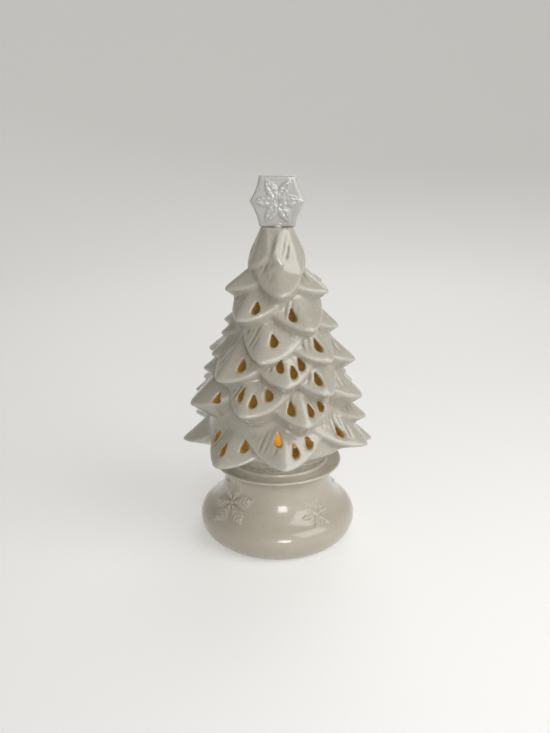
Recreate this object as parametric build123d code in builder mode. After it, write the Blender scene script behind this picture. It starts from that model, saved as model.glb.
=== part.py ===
from build123d import *
import os
from collections import namedtuple
from math import asin, atan, atan2, cos, degrees, hypot, pi, radians, sin, tan

# Pierced ceramic tree lantern: a hollow glazed tree that stands on a flared pedestal and is lit
# from inside by a battery tealight. Millimetres, +Z up, origin on the table under the foot.

# Cast ceramic
WALL = 4.5

# Pedestal, outer form
FOOT_RADIUS = 58.0
BELLY_RADIUS = 66.5
BELLY_HEIGHT = 15.0
SHOULDER_ROUND = 13.0
WAIST_RADIUS = 45.0
WAIST_DROP = 13.0
LIP_OVERHANG = 9.0
LIP_DROP = 2.0
LIP_THICKNESS = 2.0

# Pedestal, seat for the tree and dish for the light
SEAT_HEIGHT = 68.0
SEAT_MARGIN = 1.0
SPIGOT_HEIGHT = 4.0
SPIGOT_WALL = 4.0
SPIGOT_CLEARANCE = 1.0
DISH_DEPTH = 7.0

# Tree, body under the boughs
COLLAR_RADIUS = 41.0
COLLAR_HEIGHT = 2.0
SKIRT_RADIUS = 61.0
SKIRT_HEIGHT = 20.0
TREE_HEIGHT = 193.0
TIP_RADIUS = 12.5
TIP_SOLID = 21.0
BODY_SIDES = 16
HOLLOW_SIDES = 24

# Boughs: keeled leaves with undersides that fall towards the body
KEEL_ANGLE = 21.0
UNDERSIDE_FALL = 0.75
LEAF_SHOULDER = 0.95
LEAF_LENGTH = 2.6
LEAF_TAPER = 0.65
CROWN_TAPER = 0.42
LEAF_FACETS = 3
ROOT_DEPTH = 0.65
HOLE_RADIUS = 2.8
HOLE_POINT = 7.2
HOLE_FACETS = 5
HOLE_FAN = 1.5
HOLE_START = 10.0

# Topper plaque
PLAQUE_RADIUS = 24.1
PLAQUE_SIDE_RADIUS = 21.6
PLAQUE_HALF_HEIGHT = 19.5
PLAQUE_HOLLOW = 1.2
PLAQUE_THICKNESS = 9.0
PLAQUE_BORDER = 2.6
PLAQUE_SINK = 1.0
ARM_START = 1.8
ARM_LENGTH = 14.2
ARM_HALF_WIDTH = 2.6
ARM_TAPER = 4.6
PEG_RADIUS = 4.0
PEG_LENGTH = 8.0
PEG_CLEARANCE = 0.3

# Tealight, body and flame
CASE_RADIUS = 18.75
CASE_HEIGHT = 17.0
CASE_WALL = 1.2
RIB_DEPTH = 0.75
RIB_WIDTH = 2.0
RIBS = 4
CASE_TOP = 1.5
CASE_RIM = 2.2
WAX_DIP = 2.5
FLAME_RADIUS = 5.9
FLAME_NECK_RADIUS = 5.4
FLAME_HEIGHT = 18.0
FLAME_BELLY = 5.0
FLAME_SHOULDER = 11.0
FLAME_SHOULDER_RADIUS = 3.9
FLAME_TIP_RADIUS = 0.5
FLAME_SIDES = 12
FLANGE_WIDTH = 1.6
FLANGE_THICKNESS = 1.0
FLAME_CLEARANCE = 0.3
LED_RADIUS = 2.5
LED_FLANGE_RADIUS = 2.9
LED_FLANGE_THICKNESS = 1.0
LED_HEIGHT = 8.6
LED_BEVEL = 1.0
LED_CLEARANCE = 0.15
LEAD_SIDE = 0.5
LEAD_PITCH = 2.54

# Tealight, bottom plate, cell, door, contacts and switch
PLATE_RECESS = 0.5
PLATE_THICKNESS = 1.5
PLATE_CLEARANCE = 0.15
CELL_RADIUS = 10.0
CELL_THICKNESS = 3.2
CELL_OFFSET = -3.0
DOOR_CLEARANCE = 0.3
DOOR_GAP = 0.2
CELL_PASS = 0.2
LUG_WIDTH = 1.7
LUG_THICKNESS = 0.8
LUG_ARC = 36.0
LUG_NOTCH_ARC = 42.0
DOOR_TWIST = 45.0
COIN_SLOT_LENGTH = 12.0
COIN_SLOT_WIDTH = 1.6
COIN_SLOT_DEPTH = 0.7
BAY_WALL = 0.8
BAY_SIDES = 16
STRIP_THICKNESS = 0.4
STRIP_WIDTH = 3.6
STRIP_RISE = 3.0
STRIP_SLACK = 0.1
SWITCH_OFFSET = 13.0
SWITCH_TRAVEL = 3.0
SWITCH_KNOB_WIDTH = 2.2
SWITCH_KNOB_LENGTH = 2.8
SWITCH_PLATE_WIDTH = 4.4
SWITCH_PLATE_LENGTH = 5.8
SWITCH_PLATE_THICKNESS = 1.2
SWITCH_KNOB_DROP = 0.3

# Rows of boughs from the tip down. A bough's tip is so high above the mouth or, below nought, under
# the tree's tip, and reaches so far from the axis. Holes are (sideways, up) from the bough's tip.
# The back of the tree repeats the front, turned half round and, above the lowest row, drawn in a little.
Bough = namedtuple("Bough", "azimuth height reach left right slope holes", defaults=((),))
UPPER_BOUGHS = [
    Bough(-58, -31.5, 28, 17, 17, 24),
    Bough(45, -32.5, 27.5, 22, 16, 26),
    Bough(-66, -45.5, 46, 24, 28, 46),
    Bough(3, -46, 47, 19, 19, 43),
    Bough(62, -47, 46, 28, 24, 46),
    Bough(-88, -85.5, 47, 22, 22, 48),
    Bough(-37, -65, 53, 22, 27, 45, ((9, 9),)),
    Bough(30, -72, 54, 26, 28, 45, ((-9, 10.5),)),
    Bough(78, -77, 51, 26, 22, 48),
    Bough(-74, 93.5, 56, 24, 28, 48),
    Bough(-13, 100, 62, 20, 30, 45, ((7, 13.5),)),
    Bough(42, 97, 63, 27, 25, 47, ((-3, 11),)),
    Bough(74, 90, 66, 24, 24, 50),
    Bough(-95, 82, 58.5, 24, 24, 48),
    Bough(-43, 83, 69, 24, 32, 46, ((11, 11),)),
    Bough(6, 83, 68, 27, 28, 45, ((-3.5, 13), (6, 9), (12.5, 12.5))),
    Bough(35, 74, 71, 24, 27, 47, ((-3, 10.5),)),
    Bough(69, 62, 74, 24, 24, 49),
    Bough(-100, 54, 71.5, 22, 22, 47),
    Bough(-66, 57, 77, 26, 30, 47, ((16, 8.5),)),
    Bough(-23, 60.5, 74.5, 23, 34, 45, ((-4.5, 12.5), (6, 9.5), (15, 13))),
    Bough(18, 52.5, 74.5, 28, 33, 45, ((-8, 11), (6, 9.5), (16, 10))),
    Bough(82, 38.5, 75.5, 26, 24, 49),
]
LOWEST_BOUGHS = [
    Bough(-90, 14, 81.5, 26, 28, 47),
    Bough(-37, 16, 80.5, 34, 36, 46, ((-18, 15), (-2, 11.5), (12, 15))),
    Bough(4, 20.5, 80, 34, 38, 45, ((-3.5, 18), (9, 10.5), (20, 13.5))),
    Bough(63, 24.5, 82.5, 32, 28, 49, ((-12, 12.5),)),
]
HALF_TURNS = (0, 180)
REAR_INSET = 5.0

# Heights and radii that follow from the sizes above
lip_radius = WAIST_RADIUS + LIP_OVERHANG
lip_height = SEAT_HEIGHT - LIP_DROP
waist_height = lip_height - WAIST_DROP
seat_radius = COLLAR_RADIUS + SEAT_MARGIN
mouth_radius = COLLAR_RADIUS - WALL
spigot_radius = mouth_radius - SPIGOT_CLEARANCE
dish_radius = spigot_radius - SPIGOT_WALL
dish_floor = SEAT_HEIGHT - DISH_DEPTH
dish_underside = dish_floor - WALL
mouth_height = SEAT_HEIGHT
tree_top = mouth_height + TREE_HEIGHT
plaque_centre = tree_top + PLAQUE_HALF_HEIGHT

case_bottom = dish_floor
case_top = case_bottom + CASE_HEIGHT
wax_height = case_top - WAX_DIP
wax_underside = wax_height - CASE_TOP
plate_bottom = case_bottom + PLATE_RECESS
plate_top = plate_bottom + PLATE_THICKNESS
plate_radius = CASE_RADIUS - CASE_WALL - PLATE_CLEARANCE
lug_bottom = plate_top + DOOR_GAP
cell_bottom = lug_bottom + LUG_THICKNESS
cell_top = cell_bottom + CELL_THICKNESS
door_hole_radius = CELL_RADIUS + CELL_PASS
door_radius = door_hole_radius - DOOR_CLEARANCE
lug_radius = door_radius + LUG_WIDTH
bay_radius = lug_radius + DOOR_CLEARANCE
bay_outer_radius = bay_radius + BAY_WALL
flame_hole_radius = FLAME_RADIUS + FLAME_CLEARANCE
flame_flange_radius = flame_hole_radius + FLANGE_WIDTH
flame_bottom = wax_underside - FLANGE_THICKNESS
flame_tip = case_top + FLAME_HEIGHT
led_bottom = flame_bottom
led_top = led_bottom + LED_HEIGHT
strip_top = cell_top + STRIP_THICKNESS
positive_strip = cell_top + STRIP_RISE
cell_centre = (CELL_OFFSET, 0)


def inner_corner(before, corner, after, inset):
    """Corner of a profile moved inwards, to the left of its direction of travel."""

    def left_normal(start, end):
        """Unit vector to the left of the line from start to end."""
        run = hypot(end[0] - start[0], end[1] - start[1])
        return (start[1] - end[1]) / run, (end[0] - start[0]) / run

    first = left_normal(before, corner)
    second = left_normal(corner, after)
    spread = 1 + first[0] * second[0] + first[1] * second[1]
    shift_x = inset * (first[0] + second[0]) / spread
    shift_z = inset * (first[1] + second[1]) / spread
    return corner[0] + shift_x, corner[1] + shift_z


def point_along(start, end, height):
    """Point at a given height on the line from start to end."""
    share = (height - start[1]) / (end[1] - start[1])
    return start[0] + share * (end[0] - start[0]), height


def chords(curve, count):
    """Points that part a curve into equal chords, both ends included."""
    return [curve @ (step / count) for step in range(count + 1)]


def frustum(wide_radius, wide_height, narrow_radius, narrow_height, sides):
    """Many-sided block whose flats lean inwards from its wide end to its narrow end."""
    length = abs(narrow_height - wide_height)
    lean = degrees(atan((wide_radius - narrow_radius) / length))
    turn_over = 0 if narrow_height > wide_height else 180
    with BuildPart() as block:
        with BuildSketch():
            RegularPolygon(wide_radius, sides, major_radius=False)
        extrude(amount=length, taper=lean)
    return block.part.moved(Location((0, 0, wide_height), (turn_over, 0, 0)))


# Pedestal: the shoulder and neck are two arcs that meet in a common tangent, and the hollow follows them.
drop = BELLY_RADIUS - WAIST_RADIUS
rise = waist_height - BELLY_HEIGHT
neck_round = (drop**2 + rise**2) / (2 * drop) - SHOULDER_ROUND
shoulder_centre = Vector(BELLY_RADIUS - SHOULDER_ROUND, BELLY_HEIGHT)
neck_centre = Vector(WAIST_RADIUS + neck_round, waist_height)
to_neck = (neck_centre - shoulder_centre).normalized()
blend = shoulder_centre + to_neck * SHOULDER_ROUND
lip_foot = lip_height - LIP_THICKNESS
belly = TangentArc((BELLY_RADIUS, BELLY_HEIGHT), (FOOT_RADIUS, 0), tangent=(0, -1))
shoulder = TangentArc((BELLY_RADIUS, BELLY_HEIGHT), blend, tangent=(0, 1))
neck = TangentArc((WAIST_RADIUS, waist_height), blend, tangent=(0, -1))
flare = TangentArc((WAIST_RADIUS, waist_height), (lip_radius, lip_foot), tangent=(0, 1))
outer_profile = [
    *reversed(chords(belly, 2)[1:]),
    *chords(shoulder, 2)[:-1],
    *reversed(chords(neck, 2)),
    *chords(flare, 2)[1:],
]
neck_middle = neck @ 0.5
hollow_foot = (FOOT_RADIUS - 2 * WALL, 0)
hollow_belly = (BELLY_RADIUS - 2 * WALL, BELLY_HEIGHT)
hollow_blend = blend - to_neck * WALL
hollow_neck = neck_middle + (neck_middle - neck_centre).normalized() * WALL
hollow_waist = (WAIST_RADIUS - WALL, waist_height)
hollow_rings = [hollow_belly, (hollow_blend.X, hollow_blend.Y), (hollow_neck.X, hollow_neck.Y), hollow_waist]

with BuildPart() as base_pedestal:
    with BuildSketch(Plane.XZ):
        with BuildLine():
            Polyline(
                (0, 0),
                *[(point.X, point.Y) for point in outer_profile],
                (lip_radius, lip_height),
                (seat_radius + LIP_DROP, lip_height),
                (seat_radius, SEAT_HEIGHT),
                (spigot_radius, SEAT_HEIGHT),
                (spigot_radius, SEAT_HEIGHT + SPIGOT_HEIGHT),
                (dish_radius, SEAT_HEIGHT + SPIGOT_HEIGHT),
                (dish_radius, dish_floor),
                (0, dish_floor),
                close=True,
            )
        make_face()
    revolve(axis=Axis.Z)
    add(frustum(*hollow_belly, *hollow_foot, HOLLOW_SIDES), mode=Mode.SUBTRACT)
    for lower_ring, upper_ring in zip(hollow_rings[:-1], hollow_rings[1:]):
        add(frustum(*lower_ring, *upper_ring, HOLLOW_SIDES), mode=Mode.SUBTRACT)
    add(frustum(*hollow_waist, hollow_waist[0], dish_underside, HOLLOW_SIDES), mode=Mode.SUBTRACT)


def leaf_edge(half_width, shoulder_height, side):
    """Lower edge of a bough from its tip to its widest line, in equal turns of a quarter round."""
    points = []
    for step in range(LEAF_FACETS + 1):
        turn = radians(90 * step / LEAF_FACETS)
        points.append((side * half_width * sin(turn), shoulder_height * (1 - cos(turn))))
    return points


def tip_height(bough):
    """Height of a bough's tip: the lower rows keep to the mouth, and the upper rows to the tree's tip."""
    return bough.height + (mouth_height if bough.height > 0 else tree_top)


def bough_solid(bough):
    """One bough: a leaf-shaped block that falls inwards, under a roof of two faces that meet in a keel."""
    half_width = (bough.left + bough.right) / 2
    shoulder_height = LEAF_SHOULDER * half_width
    full_length = LEAF_LENGTH * half_width
    room = tree_top - tip_height(bough)
    length = min(full_length, room)
    top_share = LEAF_TAPER if full_length < room else CROWN_TAPER
    slope = radians(bough.slope)
    keel_fall = tan(radians(KEEL_ANGLE)) / cos(slope)
    fall = min(UNDERSIDE_FALL, (tip_height(bough) - mouth_height) / bough.reach)
    root_depth = ROOT_DEPTH * bough.reach
    outline = [
        *leaf_edge(bough.right, shoulder_height, 1),
        (bough.right * top_share, length),
        (0, length),
        (-bough.left * top_share, length),
        *reversed(leaf_edge(bough.left, shoulder_height, -1)),
    ]
    tip = Vector(0, -bough.reach, tip_height(bough))
    root = tip + Vector(0, root_depth, -fall * root_depth)
    up_ridge = Vector(0, sin(slope), cos(slope))
    roof_length = length / cos(slope)
    roof_reach = bough.left + bough.right
    roof_depth = roof_reach * tan(radians(KEEL_ANGLE))
    with BuildPart() as solid:
        with BuildSketch(Plane(origin=root, x_dir=(1, 0, 0), z_dir=(0, -1, 0))):
            with BuildLine():
                Polyline(*[(x, up + fall * (up * tan(slope) + abs(x) * keel_fall)) for x, up in outline])
            make_face()
        extrude(amount=bough.reach * hypot(1, fall), dir=(0, -1, fall))
        with BuildSketch(Plane(origin=tip - up_ridge * bough.reach, x_dir=(1, 0, 0), z_dir=up_ridge)):
            with BuildLine():
                Polyline(
                    (0, 0),
                    (roof_reach, roof_depth),
                    (roof_reach, roof_depth + 2 * bough.reach),
                    (-roof_reach, roof_depth + 2 * bough.reach),
                    (-roof_reach, roof_depth),
                    close=True,
                )
            make_face()
        extrude(amount=roof_length + 2 * bough.reach, mode=Mode.INTERSECT)
    return solid.part


def hole_solid(bough, across, up):
    """One teardrop cutter, whose point leans towards the middle of the bough."""
    lean = atan2(-across, HOLE_FAN * bough.left - up)
    middle = (HOLE_POINT - HOLE_RADIUS) / 2
    touch = asin(HOLE_RADIUS / HOLE_POINT)
    round_end = []
    for step in range(HOLE_FACETS + 1):
        turn = touch - step * (pi + 2 * touch) / HOLE_FACETS
        round_end.append((HOLE_RADIUS * cos(turn), HOLE_RADIUS * sin(turn) - middle))
    hole_plane = Plane(
        origin=(across, -HOLE_START, tip_height(bough) + up),
        x_dir=(cos(lean), 0, -sin(lean)),
        z_dir=(0, -1, 0),
    )
    with BuildPart() as cutter:
        with BuildSketch(hole_plane):
            with BuildLine():
                Polyline((0, HOLE_POINT - middle), *round_end, close=True)
            make_face()
        extrude(amount=bough.reach)
    return cutter.part


# Tree: the boughs are fused with a tapering body, then hollowed and pierced.
collar_edge = (COLLAR_RADIUS, mouth_height + COLLAR_HEIGHT)
skirt_edge = (SKIRT_RADIUS, mouth_height + SKIRT_HEIGHT)
tip_edge = (TIP_RADIUS, tree_top)
inner_collar = inner_corner((COLLAR_RADIUS, mouth_height), collar_edge, skirt_edge, WALL)
inner_skirt = inner_corner(collar_edge, skirt_edge, tip_edge, WALL)
inner_tip = inner_corner(skirt_edge, tip_edge, (0, tree_top), WALL)
hollow_top = point_along(inner_skirt, inner_tip, tree_top - TIP_SOLID)
bough_solids = []
hole_solids = []
for bough in UPPER_BOUGHS + LOWEST_BOUGHS:
    inset = 0 if bough in LOWEST_BOUGHS else REAR_INSET
    rear_bough = bough._replace(reach=bough.reach - inset)
    its_holes = [hole_solid(bough, across, up) for across, up in bough.holes]
    for half_turn, this_bough in zip(HALF_TURNS, (bough, rear_bough)):
        turn = bough.azimuth + half_turn
        bough_solids.append(bough_solid(this_bough).rotate(Axis.Z, turn))
        hole_solids.extend(hole.rotate(Axis.Z, turn) for hole in its_holes)

with BuildPart() as tree_shade:
    with BuildSketch(Plane.XY.offset(mouth_height)):
        Circle(COLLAR_RADIUS)
    extrude(amount=COLLAR_HEIGHT)
    add(frustum(*skirt_edge, *collar_edge, BODY_SIDES))
    add(frustum(*skirt_edge, *tip_edge, BODY_SIDES))
    add(bough_solids)
    with BuildSketch(Plane.XY.offset(mouth_height)):
        Circle(mouth_radius)
    extrude(amount=inner_collar[1] - mouth_height, mode=Mode.SUBTRACT)
    add(frustum(*inner_skirt, *inner_collar, HOLLOW_SIDES), mode=Mode.SUBTRACT)
    add(frustum(*inner_skirt, *hollow_top, HOLLOW_SIDES), mode=Mode.SUBTRACT)
    add(hole_solids, mode=Mode.SUBTRACT)
    with Locations((0, 0, tree_top)):
        Hole(PEG_RADIUS + PEG_CLEARANCE, depth=PEG_LENGTH + PEG_CLEARANCE)


# Topper: a six-sided plaque with hollow sides, a sunk field and six raised leaf arms on each face.
corner_angle = degrees(asin(PLAQUE_HALF_HEIGHT / PLAQUE_RADIUS))
plaque_corners = [
    Vector(PLAQUE_SIDE_RADIUS, 0),
    Vector(PLAQUE_RADIUS, 0).rotate(Axis.Z, corner_angle),
    Vector(PLAQUE_RADIUS, 0).rotate(Axis.Z, 180 - corner_angle),
    Vector(-PLAQUE_SIDE_RADIUS, 0),
    Vector(PLAQUE_RADIUS, 0).rotate(Axis.Z, 180 + corner_angle),
    Vector(PLAQUE_RADIUS, 0).rotate(Axis.Z, -corner_angle),
]
side_hollows = (PLAQUE_HOLLOW, 0, PLAQUE_HOLLOW, PLAQUE_HOLLOW, 0, PLAQUE_HOLLOW)
plaque_plane = Plane(origin=(0, 0, plaque_centre), x_dir=(1, 0, 0), z_dir=(0, -1, 0))
half_thickness = PLAQUE_THICKNESS / 2

with BuildSketch() as leaf_arm:
    with BuildLine():
        Polyline(
            (0, 0),
            (ARM_TAPER, ARM_HALF_WIDTH),
            (ARM_LENGTH - ARM_TAPER, ARM_HALF_WIDTH),
            (ARM_LENGTH, 0),
            (ARM_LENGTH - ARM_TAPER, -ARM_HALF_WIDTH),
            (ARM_TAPER, -ARM_HALF_WIDTH),
            close=True,
        )
    make_face()

with BuildPart() as snowflake_topper:
    with BuildSketch(plaque_plane) as plaque_outline:
        with BuildLine():
            for start, end, hollow in zip(plaque_corners, plaque_corners[1:] + plaque_corners[:1], side_hollows):
                if hollow:
                    middle = (start + end) / 2
                    ThreePointArc(start, middle - middle.normalized() * hollow, end)
                else:
                    Line(start, end)
        make_face()
    extrude(amount=half_thickness, both=True)
    with BuildSketch(plaque_plane.offset(half_thickness - PLAQUE_SINK)):
        add(plaque_outline.sketch_local)
        offset(amount=-PLAQUE_BORDER)
    extrude(amount=PLAQUE_SINK, mode=Mode.SUBTRACT)
    with BuildSketch(plaque_plane.offset(half_thickness - PLAQUE_SINK)):
        with PolarLocations(ARM_START, 6):
            add(leaf_arm.sketch)
    extrude(amount=PLAQUE_SINK)
    mirror(about=Plane.XZ, mode=Mode.INTERSECT)
    with Locations((0, 0, tree_top - PEG_LENGTH / 2)):
        Cylinder(PEG_RADIUS, PEG_LENGTH)


# Tealight case: a cup upside down, with a sunk top, a hole for the flame and ribs that stop the plate.
case_bore_radius = CASE_RADIUS - CASE_WALL
rim_radius = CASE_RADIUS - CASE_RIM

with BuildPart() as tealight_case:
    with BuildSketch(Plane.XZ):
        with BuildLine():
            Polyline(
                (case_bore_radius, case_bottom),
                (CASE_RADIUS, case_bottom),
                (CASE_RADIUS, case_top),
                (rim_radius, case_top),
                (rim_radius, wax_height),
                (flame_hole_radius, wax_height),
                (flame_hole_radius, wax_underside),
                (case_bore_radius, wax_underside),
                close=True,
            )
        make_face()
    revolve(axis=Axis.Z)
    with BuildSketch(Plane.XY.offset(plate_top)):
        with PolarLocations(case_bore_radius, RIBS, start_angle=45):
            Rectangle(2 * RIB_DEPTH, RIB_WIDTH)
    extrude(amount=wax_underside - plate_top)


# Flame: a hollow teardrop on a flange that is held under the case's top.
belly_height = case_top + FLAME_BELLY
shoulder_height = case_top + FLAME_SHOULDER
bore_radius = LED_RADIUS + LED_CLEARANCE
flange_bore_radius = LED_FLANGE_RADIUS + LED_CLEARANCE
led_shoulder = led_bottom + LED_FLANGE_THICKNESS

with BuildPart() as tealight_flame:
    with BuildSketch(Plane.XY.offset(flame_bottom)):
        Circle(flame_flange_radius)
    extrude(amount=FLANGE_THICKNESS)
    add(frustum(FLAME_RADIUS, belly_height, FLAME_NECK_RADIUS, wax_underside, FLAME_SIDES))
    add(frustum(FLAME_RADIUS, belly_height, FLAME_SHOULDER_RADIUS, shoulder_height, FLAME_SIDES))
    add(frustum(FLAME_SHOULDER_RADIUS, shoulder_height, FLAME_TIP_RADIUS, flame_tip, FLAME_SIDES))
    with BuildSketch(Plane.XY.offset(flame_bottom)):
        Circle(flange_bore_radius)
    extrude(amount=LED_FLANGE_THICKNESS + LED_CLEARANCE, mode=Mode.SUBTRACT)
    with BuildSketch(Plane.XY.offset(flame_bottom)):
        Circle(bore_radius)
    extrude(amount=LED_HEIGHT + LED_CLEARANCE, mode=Mode.SUBTRACT)


# Lamp inside the flame, with its two square wire legs
with BuildPart() as tealight_led:
    with BuildSketch(Plane.XY.offset(led_bottom)):
        Circle(LED_FLANGE_RADIUS)
    extrude(amount=LED_FLANGE_THICKNESS)
    with BuildSketch(Plane.XY.offset(led_shoulder)):
        Circle(LED_RADIUS)
    extrude(amount=led_top - led_shoulder)
    chamfer(faces().sort_by(Axis.Z)[-1].edges(), LED_BEVEL)

with BuildPart() as led_lead_positive:
    with BuildSketch(Plane.XY.offset(positive_strip + STRIP_THICKNESS)):
        with Locations((0, LEAD_PITCH / 2)):
            Rectangle(LEAD_SIDE, LEAD_SIDE)
    extrude(amount=led_bottom - positive_strip - STRIP_THICKNESS)

with BuildPart() as led_lead_negative:
    with BuildSketch(Plane.XY.offset(strip_top)):
        with Locations((0, -LEAD_PITCH / 2)):
            Rectangle(LEAD_SIDE, LEAD_SIDE)
    extrude(amount=led_bottom - strip_top)


# Bottom plate with the ring of the cell bay, two notches for the door's lugs and the switch's slot
slot_width = SWITCH_KNOB_WIDTH + 2 * DOOR_CLEARANCE
slot_length = SWITCH_KNOB_LENGTH + SWITCH_TRAVEL + 2 * DOOR_CLEARANCE
notch_length = 2 * (lug_radius + DOOR_CLEARANCE)
bay_turn = 180 / BAY_SIDES

with BuildPart() as tealight_bottom_plate:
    with BuildSketch(Plane.XY.offset(plate_bottom)):
        Circle(plate_radius)
        with Locations(cell_centre):
            Circle(door_hole_radius, mode=Mode.SUBTRACT)
        with Locations(Location((*cell_centre, 0), (0, 0, DOOR_TWIST))):
            Rectangle(notch_length, 2 * bay_radius * sin(radians(LUG_NOTCH_ARC / 2)), mode=Mode.SUBTRACT)
        with Locations((SWITCH_OFFSET, 0)):
            Rectangle(slot_width, slot_length, mode=Mode.SUBTRACT)
    extrude(amount=PLATE_THICKNESS)
    with BuildSketch(Plane.XY.offset(plate_top)):
        with Locations(cell_centre):
            RegularPolygon(bay_outer_radius, BAY_SIDES, major_radius=False, rotation=bay_turn)
            RegularPolygon(
                bay_radius, BAY_SIDES, major_radius=False, rotation=bay_turn, mode=Mode.SUBTRACT
            )
    extrude(amount=cell_top - plate_top)


# Coin cell
with BuildPart() as battery_cell:
    with BuildSketch(Plane.XY.offset(cell_bottom)):
        with Locations(cell_centre):
            Circle(CELL_RADIUS)
    extrude(amount=CELL_THICKNESS)


# Twist door under the cell: a plug with two lugs that lock above the plate, and a coin slot
with BuildPart() as battery_door:
    with BuildSketch(Plane.XY.offset(plate_bottom)):
        with Locations(cell_centre):
            Circle(door_radius)
    extrude(amount=cell_bottom - plate_bottom)
    with BuildSketch(Plane.XY.offset(lug_bottom)):
        with Locations(cell_centre):
            Circle(lug_radius)
            Rectangle(2 * lug_radius, 2 * lug_radius * sin(radians(LUG_ARC / 2)), mode=Mode.INTERSECT)
    extrude(amount=LUG_THICKNESS)
    with BuildSketch(Plane.XY.offset(plate_bottom)):
        with Locations(cell_centre):
            SlotOverall(COIN_SLOT_LENGTH, COIN_SLOT_WIDTH)
    extrude(amount=COIN_SLOT_DEPTH, mode=Mode.SUBTRACT)


# Spring strips: one from the cell's face to the switch, one from its edge up to the lamp
switch_plate_top = plate_top + SWITCH_PLATE_THICKNESS
half_strip = STRIP_THICKNESS / 2

with BuildPart() as contact_negative:
    with BuildSketch(Plane.XZ):
        with BuildLine():
            Polyline(
                (CELL_OFFSET - CELL_RADIUS / 2, cell_top + half_strip),
                (CELL_OFFSET + bay_outer_radius, cell_top + half_strip),
                (SWITCH_OFFSET, switch_plate_top + DOOR_GAP + STRIP_THICKNESS),
            )
        trace(line_width=STRIP_THICKNESS)
    extrude(amount=STRIP_WIDTH / 2, both=True)

edge_strip = CELL_RADIUS + STRIP_SLACK + half_strip
foot_strip = bay_radius + half_strip

with BuildPart() as contact_positive:
    with BuildSketch(Plane.YZ):
        with BuildLine():
            Polyline(
                (edge_strip, cell_bottom + DOOR_GAP),
                (edge_strip, positive_strip + half_strip),
                (LEAD_PITCH / 2 - LEAD_SIDE / 2 - half_strip, positive_strip + half_strip),
            )
        trace(line_width=STRIP_THICKNESS)
        with BuildLine():
            Line((edge_strip, cell_top + half_strip), (foot_strip, cell_top + half_strip))
        trace(line_width=STRIP_THICKNESS)
    extrude(amount=STRIP_WIDTH / 2, both=True)


# On-off slider: a plate on the inside with a knob that reaches down through the slot
switch_start = -SWITCH_TRAVEL / 2

with BuildPart() as switch_slider:
    with BuildSketch(Plane.XY.offset(plate_top)):
        with Locations((SWITCH_OFFSET, switch_start)):
            Rectangle(SWITCH_PLATE_WIDTH, SWITCH_PLATE_LENGTH)
    extrude(amount=SWITCH_PLATE_THICKNESS)
    with BuildSketch(Plane.XY.offset(plate_bottom - SWITCH_KNOB_DROP)):
        with Locations((SWITCH_OFFSET, switch_start)):
            Rectangle(SWITCH_KNOB_WIDTH, SWITCH_KNOB_LENGTH)
    extrude(amount=plate_top - plate_bottom + SWITCH_KNOB_DROP)


pieces = {
    "base_pedestal": base_pedestal,
    "tree_shade": tree_shade,
    "snowflake_topper": snowflake_topper,
    "tealight_case": tealight_case,
    "tealight_flame": tealight_flame,
    "tealight_led": tealight_led,
    "led_lead_positive": led_lead_positive,
    "led_lead_negative": led_lead_negative,
    "tealight_bottom_plate": tealight_bottom_plate,
    "battery_cell": battery_cell,
    "battery_door": battery_door,
    "contact_positive": contact_positive,
    "contact_negative": contact_negative,
    "switch_slider": switch_slider,
}

os.makedirs("parts", exist_ok=True)
for name, piece in pieces.items():
    piece.part.label = name
    export_step(piece.part, f"parts/{name}.step")
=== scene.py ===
"""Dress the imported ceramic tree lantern: glazed shade, pedestal and topper, and the tealight inside them."""
import logging
import math
from dataclasses import dataclass, field, replace
from enum import Enum
from typing import Sequence

import bpy
import numpy as np
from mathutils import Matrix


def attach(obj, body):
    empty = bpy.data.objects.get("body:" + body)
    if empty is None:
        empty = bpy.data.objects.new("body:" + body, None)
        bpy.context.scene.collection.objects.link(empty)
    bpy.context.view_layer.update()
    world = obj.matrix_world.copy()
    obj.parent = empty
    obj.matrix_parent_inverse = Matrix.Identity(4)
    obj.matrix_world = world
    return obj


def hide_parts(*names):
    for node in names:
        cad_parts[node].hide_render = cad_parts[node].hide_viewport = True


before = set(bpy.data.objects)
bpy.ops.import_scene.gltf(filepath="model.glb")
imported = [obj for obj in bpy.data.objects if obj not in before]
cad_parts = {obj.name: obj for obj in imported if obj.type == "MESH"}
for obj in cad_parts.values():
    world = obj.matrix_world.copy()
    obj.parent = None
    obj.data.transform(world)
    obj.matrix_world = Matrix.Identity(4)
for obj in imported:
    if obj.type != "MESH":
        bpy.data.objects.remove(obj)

import openvdb as vdb
from mathutils import Vector

logging.basicConfig(level=logging.INFO, format="%(name)s: %(message)s")
log = logging.getLogger("ceramic_tree")

MM = 0.001
Colour = tuple[float, float, float]
Point = tuple[float, float]
Skin = tuple[np.ndarray, list[list[int]]]
BLACK: Colour = (0.0, 0.0, 0.0)


# Shader sums


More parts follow.
